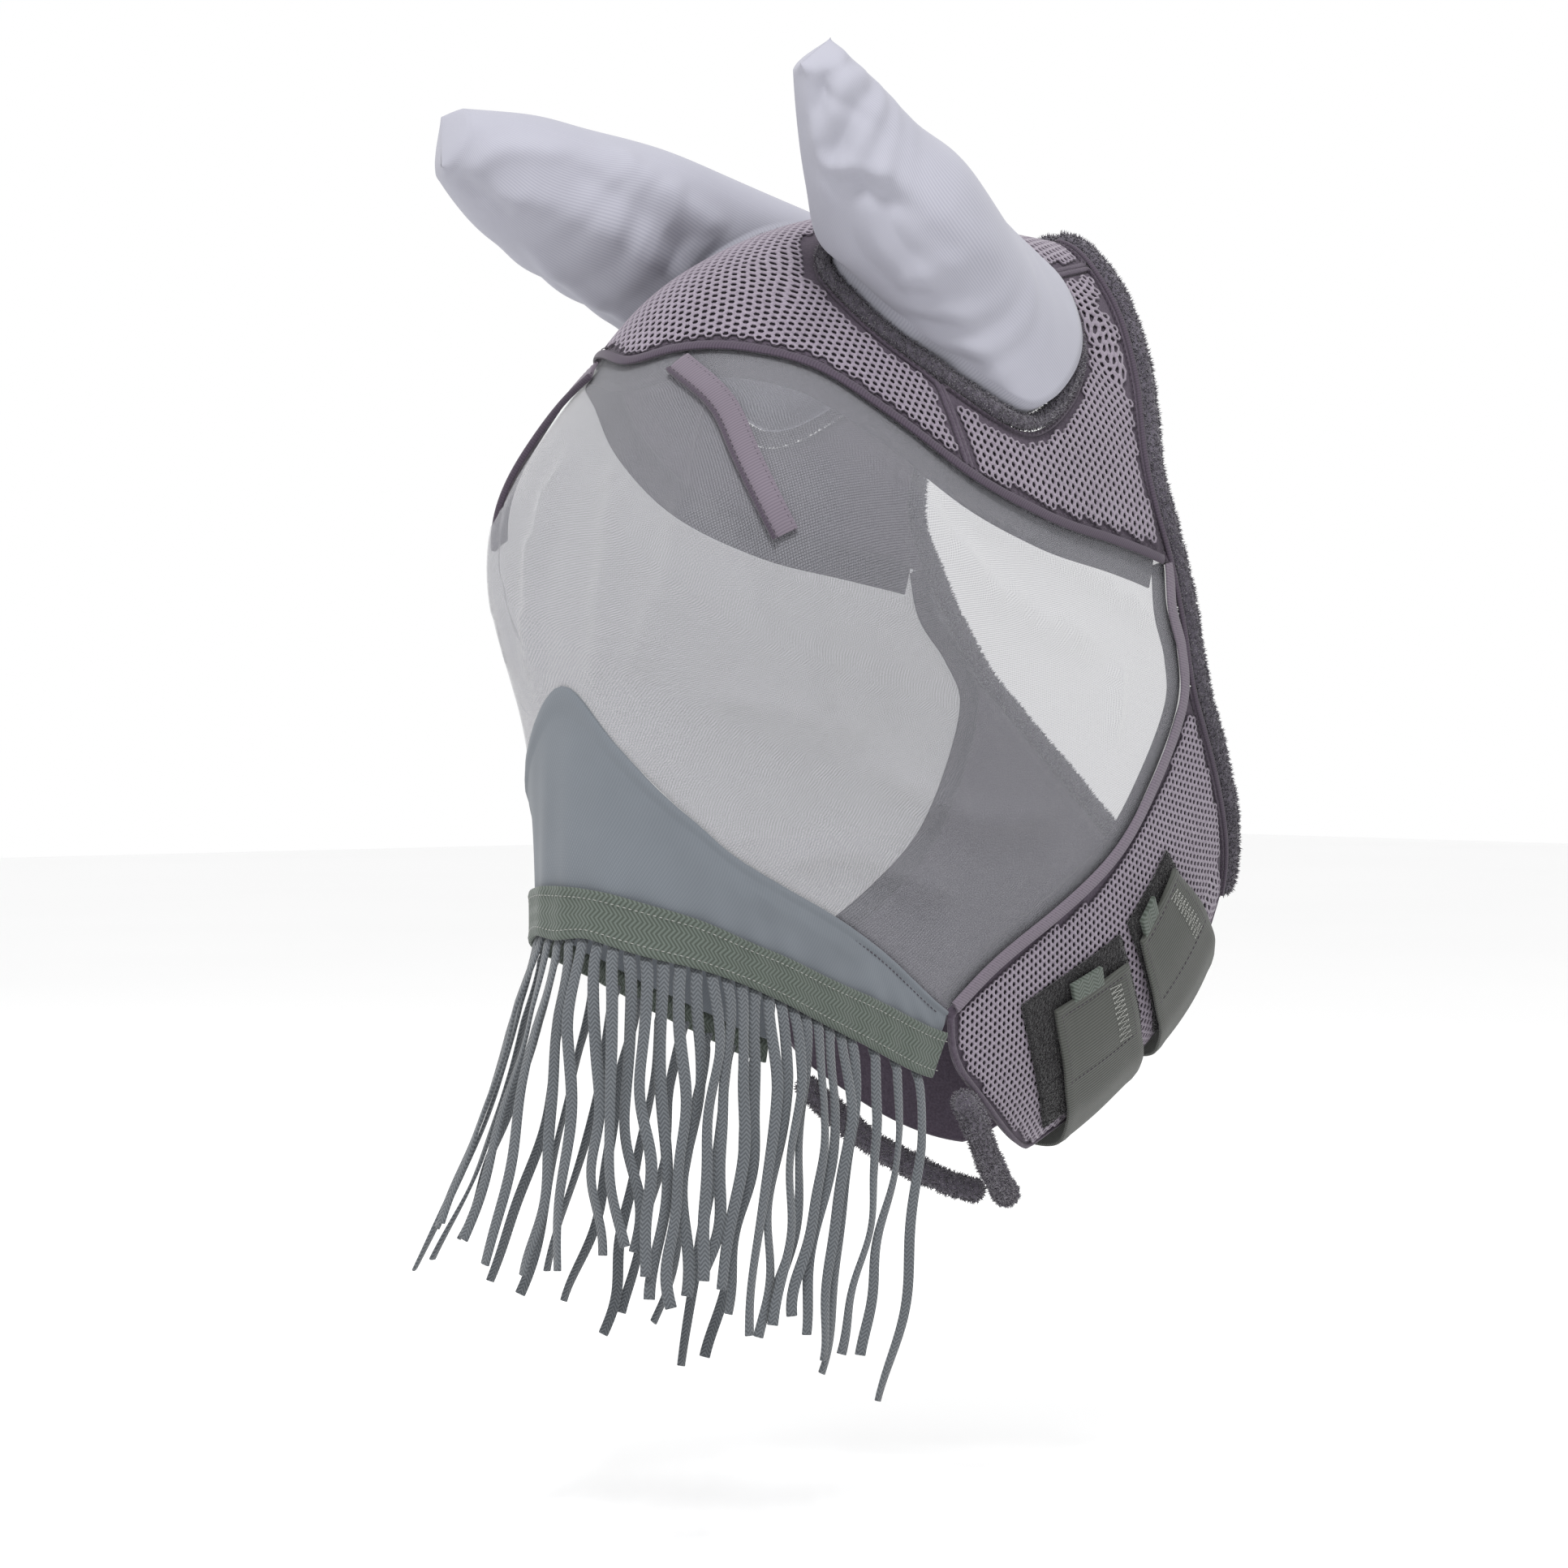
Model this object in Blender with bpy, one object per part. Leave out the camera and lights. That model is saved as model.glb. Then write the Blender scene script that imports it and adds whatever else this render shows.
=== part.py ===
"""Horse's fly mask: spacer-mesh crown and cheek bands, see-through face mesh,
ear covers, nose fringe, and a hook-and-loop closure under the jaw.

Frame: +Z up, the face looks along -Y, +X is the horse's left (near) side.
The origin lies on the horse's poll, between the ears, where the crown rests.
"""
import math

import bmesh
import bpy
import numpy as np

MM = 0.001

# ------------------------------------------------------------ driving dimensions
SPACER_THICKNESS = 3.0 * MM       # knitted spacer mesh of the crown and cheek bands
NET_THICKNESS = 1.6 * MM          # fine see-through face mesh
CLOTH_THICKNESS = 1.4 * MM        # nose panel, bindings, facings
LAYER_GAP = 1.2 * MM              # clear space between two sewn layers
SEAM_GAP = 0.9 * MM               # each panel stops this far short of its seam line
NOSEBAND_THICKNESS = 1.8 * MM
EAR_WALL = 1.6 * MM
STRAP_THICKNESS = 1.6 * MM
ROLL_RADIUS = 5.5 * MM            # fleece roll along the rear edge
OPENING_ROLL_RADIUS = 4.6 * MM    # fleece roll round each ear opening
CHIN_ROLL_RADIUS = 7.0 * MM
BINDING_WIDTH = 5.0 * MM
DART_WIDTH = 13.0 * MM
FACING_WIDTH = 15.0 * MM
CORD_DIAMETER = 4.6 * MM          # flat knitted fringe cord, as the tube it fits in
CORD_COUNT = 28

# ------------------------------------------------------------ the head it is cut for
HEART = np.array((0.0, 90.0, -220.0)) * MM   # middle of the head, where all rays start
# Side view of the head, (y, z) in mm: forehead, nose, muzzle, jaw, neck and poll.
HEAD_PROFILE = ((-40, -26), (-76, -70), (-98, -125), (-112, -185), (-118, -250), (-122, -344),
                (-128, -420), (-100, -510), (13, -552), (142, -474), (215, -434), (274, -387),
                (307, -325), (345, -240), (385, -130), (350, -20), (220, 2), (100, 10), (30, 5))
HEAD_HALF_WIDTH = 68.0 * MM       # half width away from the eyes
CHEEK_SWELL = 42.0 * MM           # added where the head is broadest
CHEEK_PLACE = np.array((60.0, -150.0)) * MM
CHEEK_SPREAD = np.array((190.0, 140.0)) * MM
SIDE_ROUNDNESS = 2.1              # exponent across the head
PROFILE_ROUNDNESS = 2.5           # exponent towards the profile
FOREHEAD_FLATNESS = 3.2           # added to it over the forehead
FOREHEAD_ANGLE = math.radians(15)
FOREHEAD_SPREAD = math.radians(48)
EYE_LONGITUDE, EYE_LATITUDE = math.radians(34), math.radians(17)
EYE_DOME_HEIGHT = 34.0 * MM       # how far the darts hold the mesh off the eyes
EYE_DOME_SPREAD = math.radians(22)

# ------------------------------------------------------------ seam lines, left half, mm
BROW_LINE = ((0, -76, -70), (29, -67, -66), (56, -49, -68), (75, -25, -78), (94, 4, -100),
             (105, 42, -123), (105, 94, -141), (99, 145, -151), (91, 187, -160))
REAR_LINE = ((0, 191, 2), (30, 191, -12), (52, 192, -38), (69, 187, -68), (85, 177, -106),
             (91, 179, -135), (91, 191, -162), (84, 204, -195), (77, 222, -224), (60, 252, -265),
             (40, 280, -308), (27, 292, -334))
EAR_OPENING = ((24, 40, 5), (40, 2, -20), (67, 7, -49), (87, 37, -76), (96, 84, -99),
               (84, 126, -83), (65, 152, -53), (42, 150, -14), (26, 100, 8))
CHEEK_FRONT_LINE = ((77, 214, -224), (73, 198, -269), (70, 172, -305), (68, 136, -333),
                    (67, 93, -360), (65, 65, -381))
CHEEK_BINDING_LINE = ((87, 189, -184), (81, 201, -205), (76, 209, -230), (73, 195, -269), (70, 170, -305),
                      (68, 134, -333), (67, 92, -360), (65, 65, -381))
CHIN_LINE = ((65, 65, -381), (60, 74, -408), (49, 106, -434), (20, 158, -453))
JAW_LINE = ((20, 158, -453), (18, 190, -440), (18, 238, -408), (22, 275, -368), (27, 292, -334))
NOSE_LINE = ((0, -118, -222), (34, -110, -251), (55, -88, -281), (63, -70, -300),
             (70, -26, -324), (70, 15, -347), (65, 65, -381))
NOSEBAND_TOP = ((0, -119, -316), (29, -111, -319), (53, -86, -331), (64, -46, -347),
                (66, 8, -368), (63, 64, -390))
NOSEBAND_BOTTOM = ((0, -119, -341), (23, -116, -342), (52, -85, -354), (62, -44, -370),
                   (63, 6, -392), (60, 57, -413))
DART_LINE = ((31, -70, -74), (60, -65, -98), (78, -60, -129), (91, -48, -163))
CHIN_ROLL_LINE = ((61, 78, -423), (56, 92, -437), (42, 114, -458), (22, 142, -476), (9, 158, -482))

# ------------------------------------------------------------ ear covers, mm
# Centres of each cover from base to tip.
LEFT_EAR_AXIS = ((64, 80, -38), (79, 30, -4), (87, -4, 24), (91, -22, 46), (93, -35, 62), (94, -41, 70))
RIGHT_EAR_AXIS = ((-64, 80, -38), (-82, 24, -6), (-104, -38, 20), (-115, -66, 35), (-122, -88, 45), (-124, -95, 47))
# Share of the way back from tip to base, half width across, half width front to back.
LEFT_EAR_WIDTHS = ((1.0, 64, 50), (0.8, 68, 52), (0.55, 51, 42), (0.35, 36, 30), (0.15, 25, 21), (0.0, 15, 12))
RIGHT_EAR_WIDTHS = ((1.0, 62, 48), (0.8, 64, 46), (0.55, 54, 40), (0.35, 47, 35), (0.15, 38, 28), (0.0, 22, 17))

EAR_STATIONS = 11                  # rings along the axis
EAR_FREE_STATION = 5               # first ring that has left the crown
EAR_NECK = 15.0 * MM               # height of the straight neck inside the fleece roll
EAR_FOOT = 1.0 * MM                # height of its sewn foot over the head
EAR_CLEARANCE = 4.2 * MM           # from the far side of the fleece roll to the cover's neck
EAR_UPRIGHT = (0.0, 1.0, 0.35)     # direction each cover's cross sections are set up from
EAR_BLEND = (0.3, 0.65)            # shares of the way from the neck to the first free ring

# ------------------------------------------------------------ closure, mm
# Corner rows from the near (left) end, round under the jaw, to the sewn off-side end.
FRONT_STRAP_FRONT = ((57, 137, -382), (46, 156, -418), (18, 181, -452), (-16, 185, -452), (-45, 172, -424))
FRONT_STRAP_REAR = ((55, 187, -358), (44, 207, -387), (18, 231, -413), (-16, 235, -413), (-45, 219, -391))
REAR_STRAP_FRONT = ((57, 196, -349), (45, 218, -379), (19, 243, -403), (-16, 247, -403), (-45, 231, -382))
REAR_STRAP_REAR = ((61, 214, -312), (48, 247, -332), (23, 278, -357), (-16, 283, -358), (-45, 267, -338))


# ------------------------------------------------------------ geometry helpers
def clear_scene():
    for item in list(bpy.data.objects):
        bpy.data.objects.remove(item, do_unlink=True)


def mirrored(points):
    """The same line on the other half, from its far end back to the middle."""
    flipped = np.array(points, float)[::-1].copy()
    flipped[:, 0] *= -1
    return flipped


def across(points):
    """A half line from the middle outwards, grown into a whole line, right to left."""
    return np.vstack((mirrored(points)[:-1], np.array(points, float)))


def smooth_line(points, count, closed=False, steps=16):
    """Even points along a Catmull-Rom curve through the given ones."""
    pts = np.array(points, float)
    if closed:
        padded = np.vstack((pts[-1], pts, pts[0], pts[1]))
    else:
        padded = np.vstack((2 * pts[0] - pts[1], pts, 2 * pts[-1] - pts[-2]))
    curve = []
    for a, b, c, d in zip(padded[:-3], padded[1:-2], padded[2:-1], padded[3:]):
        for t in np.arange(steps) / steps:
            curve.append(0.5 * (2 * b + (c - a) * t + (2 * a - 5 * b + 4 * c - d) * t ** 2
                                + (3 * b - a - 3 * c + d) * t ** 3))
    curve.append(padded[-2])
    curve = np.array(curve)
    length = np.concatenate(((0,), np.cumsum(np.linalg.norm(np.diff(curve, axis=0), axis=1))))
    stops = np.linspace(0, length[-1], count + 1)[:-1] if closed else np.linspace(0, length[-1], count)
    return np.stack([np.interp(stops, length, curve[:, axis]) for axis in range(3)], axis=1)


def cut_line(points, first, last, count):
    """Even points along part of a curve, between the places nearest to two of its points."""
    dense = smooth_line(points, 600)
    start = int(np.argmin(np.linalg.norm(dense - first, axis=1)))
    end = int(np.argmin(np.linalg.norm(dense - last, axis=1)))
    piece = dense[start:end + 1]
    return piece[np.linspace(0, len(piece) - 1, count).round().astype(int)]


def profile_table():
    """Angle and distance from the heart of the head's outline in the side view."""
    flat = [(0.0, y, z) for y, z in HEAD_PROFILE]
    ring = smooth_line(flat, 400, closed=True) * MM
    angle = np.arctan2(ring[:, 2] - HEART[2], HEART[1] - ring[:, 1])
    reach = np.hypot(ring[:, 1] - HEART[1], ring[:, 2] - HEART[2])
    order = np.argsort(angle)
    return angle[order], reach[order]


PROFILE_ANGLE, PROFILE_REACH = profile_table()


def fullness(points):
    """Below 1 inside the bare head, above 1 outside."""
    y, z = points[..., 1] - HEART[1], points[..., 2] - HEART[2]
    angle = np.arctan2(z, -y)
    reach = np.interp(angle, PROFILE_ANGLE, PROFILE_REACH, period=2 * math.pi)
    swell = np.exp(-(((points[..., 1:] - CHEEK_PLACE) / CHEEK_SPREAD) ** 2).sum(-1))
    half_width = HEAD_HALF_WIDTH + CHEEK_SWELL * swell
    flatness = FOREHEAD_FLATNESS * np.exp(-((angle - FOREHEAD_ANGLE) / FOREHEAD_SPREAD) ** 2)
    return (np.abs(points[..., 0] / half_width) ** SIDE_ROUNDNESS
            + (np.hypot(y, z) / reach) ** (PROFILE_ROUNDNESS + flatness))


def head_reach(directions):
    """Distance from the heart to the mask's inner face along unit directions."""
    low = np.zeros(directions.shape[:-1])
    high = np.full(directions.shape[:-1], 0.6)
    for _ in range(28):
        middle = (low + high) / 2
        outside = fullness(HEART + directions * middle[..., None]) > 1
        high = np.where(outside, middle, high)
        low = np.where(outside, low, middle)
    for side in (1, -1):
        eye = np.array((side * math.sin(EYE_LONGITUDE) * math.cos(EYE_LATITUDE),
                        -math.cos(EYE_LONGITUDE) * math.cos(EYE_LATITUDE), math.sin(EYE_LATITUDE)))
        angle = np.arccos(np.clip(directions @ eye, -1, 1))
        low = low + EYE_DOME_HEIGHT * np.exp(-(angle / EYE_DOME_SPREAD) ** 2)
    return low


def unit(vectors):
    return vectors / np.linalg.norm(vectors, axis=-1, keepdims=True)


def on_head(points):
    """Points moved along their ray from the heart onto the mask's inner face."""
    directions = unit(np.asarray(points, float) - HEART)
    return HEART + directions * head_reach(directions)[..., None]


def head_normal(points):
    """Outward normals of the mask's inner face at points on it."""
    step = 0.5 * MM
    slope = []
    for axis in np.eye(3) * step:
        ahead, behind = points + axis - HEART, points - axis - HEART
        rise = (np.linalg.norm(ahead, axis=-1) - head_reach(unit(ahead))
                - np.linalg.norm(behind, axis=-1) + head_reach(unit(behind)))
        slope.append(rise)
    return unit(np.stack(slope, axis=-1))


def lift(points, height):
    """Points on the head raised by a height (a number, or one for each point)."""
    return points + head_normal(points) * np.asarray(height)[..., None]


def fill_patch(bottom, top, left, right):
    """Grid of points between four edge lines (a Coons patch), in mm as they are."""
    u = np.linspace(0, 1, len(bottom))[None, :, None]
    v = np.linspace(0, 1, len(left))[:, None, None]
    ruled_v = (1 - v) * bottom[None] + v * top[None]
    ruled_u = (1 - u) * left[:, None] + u * right[:, None]
    corners = ((1 - u) * (1 - v) * bottom[0] + u * (1 - v) * bottom[-1]
               + (1 - u) * v * top[0] + u * v * top[-1])
    return ruled_v + ruled_u - corners


def pull_in(grid, gap):
    """The grid with its rim rows moved inwards by a gap, measured in metres."""
    grid = grid.copy()
    for rows in (grid, grid.transpose(1, 0, 2)):
        for rim, neighbour in ((0, 1), (-1, -2)):
            away = rows[neighbour] - rows[rim]
            span = np.linalg.norm(away, axis=-1, keepdims=True)
            rows[rim] += away * np.minimum(gap / np.maximum(span, 1e-6), 0.4)
    return grid


# ------------------------------------------------------------ solids
def material(name, colour, roughness):
    made = bpy.data.materials.get(name) or bpy.data.materials.new(name)
    made.use_nodes = True
    shader = made.node_tree.nodes["Principled BSDF"]
    shader.inputs["Base Color"].default_value = (*colour, 1)
    shader.inputs["Roughness"].default_value = roughness
    return made


MATERIALS = {
    "spacer_mesh": ((0.26, 0.21, 0.25), 0.85),
    "face_net": ((0.72, 0.72, 0.73), 0.60),
    "jersey": ((0.48, 0.48, 0.56), 0.80),
    "fleece": ((0.13, 0.12, 0.14), 0.95),
    "nose_cloth": ((0.20, 0.22, 0.24), 0.75),
    "binding": ((0.20, 0.17, 0.20), 0.80),
    "webbing": ((0.15, 0.18, 0.15), 0.80),
    "cord": ((0.14, 0.15, 0.17), 0.85),
    "loop_tape": ((0.012, 0.012, 0.014), 0.95),
    "strap_web": ((0.11, 0.12, 0.11), 0.85),
}


def add_object(name, vertices, faces, finish, origin=(0, 0, 0)):
    """A solid; a moving piece's origin is a point on its joint's axis."""
    mesh = bpy.data.meshes.new(name)
    mesh.from_pydata([tuple(v - origin) for v in vertices], [], faces)
    shape = bmesh.new()
    shape.from_mesh(mesh)
    bmesh.ops.recalc_face_normals(shape, faces=shape.faces)
    bmesh.ops.triangulate(shape, faces=shape.faces)
    shape.to_mesh(mesh)
    shape.free()
    made = bpy.data.objects.new(name, mesh)
    mesh.materials.append(material(finish, *MATERIALS[finish]))
    mesh.shade_smooth()
    made.location = origin
    bpy.context.collection.objects.link(made)
    return made


def shell(name, inner, outer, finish, origin=(0, 0, 0)):
    """A closed solid between two matching grids of points."""
    rows, columns = inner.shape[:2]
    count = rows * columns
    vertices = np.vstack((inner.reshape(-1, 3), outer.reshape(-1, 3)))
    faces = []
    for i in range(rows - 1):
        for j in range(columns - 1):
            a = i * columns + j
            quad = (a, a + 1, a + columns + 1, a + columns)
            faces.append(quad)
            faces.append(tuple(count + k for k in reversed(quad)))
    rim = [j for j in range(columns)]
    rim += [i * columns + columns - 1 for i in range(1, rows)]
    rim += [(rows - 1) * columns + j for j in range(columns - 2, -1, -1)]
    rim += [i * columns for i in range(rows - 2, 0, -1)]
    for a, b in zip(rim, rim[1:] + rim[:1]):
        faces.append((b, a, a + count, b + count))
    return add_object(name, vertices, faces, finish, origin)


def panel(name, grid, low, thickness, finish, gap=SEAM_GAP, origin=(0, 0, 0)):
    """A sewn panel: a patch laid on the head between two heights."""
    base = on_head(pull_in(grid * MM, gap))
    return shell(name, lift(base, low), lift(base, low + thickness), finish, origin)


def band_grid(line, half_width, columns=3):
    """Grid along a line on the head, spread sideways along the surface, in metres."""
    base = on_head(np.asarray(line) * MM)
    along = unit(np.gradient(base, axis=0))
    sideways = unit(np.cross(head_normal(base), along))
    offsets = np.linspace(-half_width, half_width, columns)
    return on_head(base[None] + sideways[None] * offsets[:, None, None])


def band(name, line, width, low, thickness, finish):
    """A flat tape of one width laid along a line on the head."""
    base = band_grid(line, width / 2)
    return shell(name, lift(base, low), lift(base, low + thickness), finish)


def tube(name, points, radius, finish, origin=(0, 0, 0)):
    """A round cord or roll: a poly curve with a bevel and filled caps."""
    curve = bpy.data.curves.new(name, "CURVE")
    curve.dimensions = "3D"
    curve.bevel_depth = radius
    curve.bevel_resolution = 2
    curve.use_fill_caps = True
    spline = curve.splines.new("POLY")
    spline.points.add(len(points) - 1)
    for knot, place in zip(spline.points, points):
        knot.co = (*(place - origin), 1)
    curve.materials.append(material(finish, *MATERIALS[finish]))
    made = bpy.data.objects.new(name, curve)
    made.location = origin
    bpy.context.collection.objects.link(made)
    return made


def shifted(line, distance, height):
    """A line on the head moved sideways along the surface and raised, in metres."""
    base = on_head(np.asarray(line) * MM)
    along = unit(np.gradient(base, axis=0))
    sideways = unit(np.cross(head_normal(base), along))
    return lift(on_head(base + sideways * distance), height)


def on_side(points, side):
    """Left-half points, turned to the wanted side of the head."""
    turned = np.array(points, float)
    turned[..., 0] *= side
    return turned


# ------------------------------------------------------------ crown
OPENING = smooth_line(EAR_OPENING, 36, closed=True)


def opening_between(first, last):
    """Part of the ear opening's rim, from the point nearest first to that nearest last."""
    start = int(np.argmin(np.linalg.norm(OPENING - first, axis=1)))
    end = int(np.argmin(np.linalg.norm(OPENING - last, axis=1)))
    if end < start:
        end += len(OPENING)
    return np.array([OPENING[i % len(OPENING)] for i in range(start, end + 1)])


CROWN_SPLIT = 5                    # brow line point where the brow panel meets the temple
OPENING_FRONT = np.array(EAR_OPENING[3], float)
OPENING_MIDDLE = np.array(EAR_OPENING[0], float)
OPENING_REAR = np.array(EAR_OPENING[7], float)
REAR_CROWN = np.array(REAR_LINE[1], float)


def brow_panel():
    """Spacer mesh from the brow seam up to the ear openings and between the ears."""
    rim = opening_between(OPENING_MIDDLE, OPENING_FRONT)
    bridge = smooth_line((rim[0] * (-1, 1, 1), rim[0]), 5)
    top = np.vstack((mirrored(rim)[:-1], bridge, rim[1:]))
    corner = np.array(BROW_LINE[CROWN_SPLIT], float)
    bottom = cut_line(across(BROW_LINE), corner * (-1, 1, 1), corner, len(top))
    left = smooth_line((bottom[-1], top[-1]), 5)
    grid = fill_patch(bottom, top, on_side(left, -1), left)
    panel("brow_panel", grid, 0, SPACER_THICKNESS, "spacer_mesh", 2 * SEAM_GAP)


def temple_panel(name, side):
    """Spacer mesh below and behind one ear, down to the corner above the cheek."""
    inner = opening_between(OPENING_FRONT, OPENING_REAR)
    lower = cut_line(across(BROW_LINE), BROW_LINE[CROWN_SPLIT], BROW_LINE[-1], len(inner) - 8)
    rear = smooth_line(REAR_LINE[1:7][::-1], 9)
    outer = np.vstack((lower, rear[1:]))
    outer[len(lower) - 1] = (lower[-1] + rear[0]) / 2
    start = smooth_line((outer[0], inner[0]), 5)
    end = smooth_line((outer[-1], inner[-1]), 5)
    grid = fill_patch(outer, inner, start, end)
    panel(name, on_side(grid, side), 0, SPACER_THICKNESS, "spacer_mesh")


def poll_panel():
    """Spacer mesh over the poll, between and behind the ears."""
    rim = opening_between(OPENING_REAR, OPENING_MIDDLE + (0, 1, 0))[::-1]
    side = np.vstack((rim, smooth_line((rim[-1], REAR_CROWN), 4)[1:]))
    front = smooth_line((side[0] * (-1, 1, 1), side[0]), 7)
    rear = smooth_line(across(REAR_LINE[:2]), 7)
    grid = fill_patch(front, rear, on_side(side, -1), side)
    panel("poll_panel", grid, 0, SPACER_THICKNESS, "spacer_mesh")


def brow_facing():
    """Soft inner facing that backs the face mesh just below the brow seam."""
    seam = smooth_line(across(BROW_LINE), 31)
    base = on_head(seam * MM)
    along = unit(np.gradient(base, axis=0))
    downwards = unit(np.cross(along, head_normal(base)))
    offsets = np.linspace(2 * MM, FACING_WIDTH, 3)
    grid = on_head(base[None] + downwards[None] * offsets[:, None, None])[:, 1:-1]
    high = -1.8 * LAYER_GAP
    shell("brow_facing", lift(grid, high - CLOTH_THICKNESS), lift(grid, high), "binding")


# ------------------------------------------------------------ face
def face_mesh():
    """See-through mesh over the eyes, from the brow down to the nose panel and cheeks."""
    top = smooth_line(across(BROW_LINE), 25)
    bottom = smooth_line(across(NOSE_LINE), 25)
    upper = smooth_line((BROW_LINE[-1], REAR_LINE[7], CHEEK_FRONT_LINE[0]), 4)
    lower = smooth_line(CHEEK_FRONT_LINE, 12)
    left = np.vstack((upper, lower[1:]))[::-1]
    grid = fill_patch(bottom, top, on_side(left, -1), left)
    panel("face_mesh", grid, 0, NET_THICKNESS, "face_net", 2.5 * SEAM_GAP)


def nose_panel():
    """Closely woven cloth over the nose, rising to a point in the middle."""
    top = smooth_line(across(NOSE_LINE), 27)
    middle = (np.array(NOSEBAND_TOP, float) + np.array(NOSEBAND_BOTTOM, float)) / 2
    bottom = smooth_line(across(middle), 27)
    left = smooth_line((bottom[-1], top[-1]), 5)
    grid = fill_patch(bottom, top, on_side(left, -1), left)
    panel("nose_panel", grid, 0, CLOTH_THICKNESS, "nose_cloth")


def noseband():
    """Elastic webbing round the nose, sewn over the nose panel's lower edge."""
    top = smooth_line(across(NOSEBAND_TOP), 27)
    bottom = smooth_line(across(NOSEBAND_BOTTOM), 27)
    left = smooth_line((bottom[-1], top[-1]), 3)
    grid = fill_patch(bottom, top, on_side(left, -1), left)
    panel("noseband", grid, CLOTH_THICKNESS + LAYER_GAP, NOSEBAND_THICKNESS, "webbing", 0)


def brow_binding():
    """Narrow tape that covers the seam between the crown and the face mesh."""
    seam = smooth_line(across(BROW_LINE), 37)[1:-1]
    band("brow_binding", seam, BINDING_WIDTH, SPACER_THICKNESS + LAYER_GAP, CLOTH_THICKNESS, "binding")


def cheek_binding(name, side):
    """Tape down the front edge of one cheek band, from the temple to the noseband."""
    edge = smooth_line(CHEEK_BINDING_LINE, 21)[:-1]
    band(name, on_side(edge, side), BINDING_WIDTH, SPACER_THICKNESS + LAYER_GAP,
         CLOTH_THICKNESS, "binding")


def eye_dart(name, side):
    """Tape over the dart that makes room for the eye."""
    line = smooth_line(DART_LINE, 9)
    band(name, on_side(line, side), DART_WIDTH, NET_THICKNESS + LAYER_GAP, CLOTH_THICKNESS, "binding")


# ------------------------------------------------------------ cheeks and fleece
def cheek_band(name, side):
    """Spacer mesh along one cheek, from a point behind the temple to under the jaw."""
    front = smooth_line(CHEEK_FRONT_LINE, 12)
    chin = smooth_line(CHIN_LINE, 8)
    jaw = smooth_line(JAW_LINE, 12)
    rear = smooth_line((CHEEK_FRONT_LINE[0],) + REAR_LINE[8:], 8)
    grid = fill_patch(front, jaw[::-1], rear, chin)
    panel(name, on_side(grid, side), 0, SPACER_THICKNESS, "spacer_mesh")


def rear_fleece(name, side):
    """Fleece roll along the rear edge, from the poll down to the jaw."""
    line = smooth_line(REAR_LINE, 34)
    distance = ROLL_RADIUS + 1.6 * MM
    places = shifted(line, distance, ROLL_RADIUS * 0.6)
    places[0, 0] = 3.0 * MM
    tube(name, on_side(places, side), ROLL_RADIUS, "fleece")


def opening_fleece(name, side):
    """Fleece roll round one ear opening, between the spacer mesh and the ear cover."""
    middle = OPENING.mean(axis=0)
    inward = unit(middle - OPENING)
    ring = on_head((OPENING + inward * (OPENING_ROLL_RADIUS / MM + 2.4)) * MM)
    ring = lift(ring, OPENING_ROLL_RADIUS * 0.7)
    made = tube(name, on_side(ring, side), OPENING_ROLL_RADIUS, "fleece")
    made.data.splines[0].use_cyclic_u = True


def chin_roll(name, side):
    """Fleece-covered roll along the chin edge, with a rounded free end under the jaw."""
    line = smooth_line(CHIN_ROLL_LINE, 10) * MM
    tube(name, on_side(line, side), CHIN_ROLL_RADIUS, "fleece")


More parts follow.
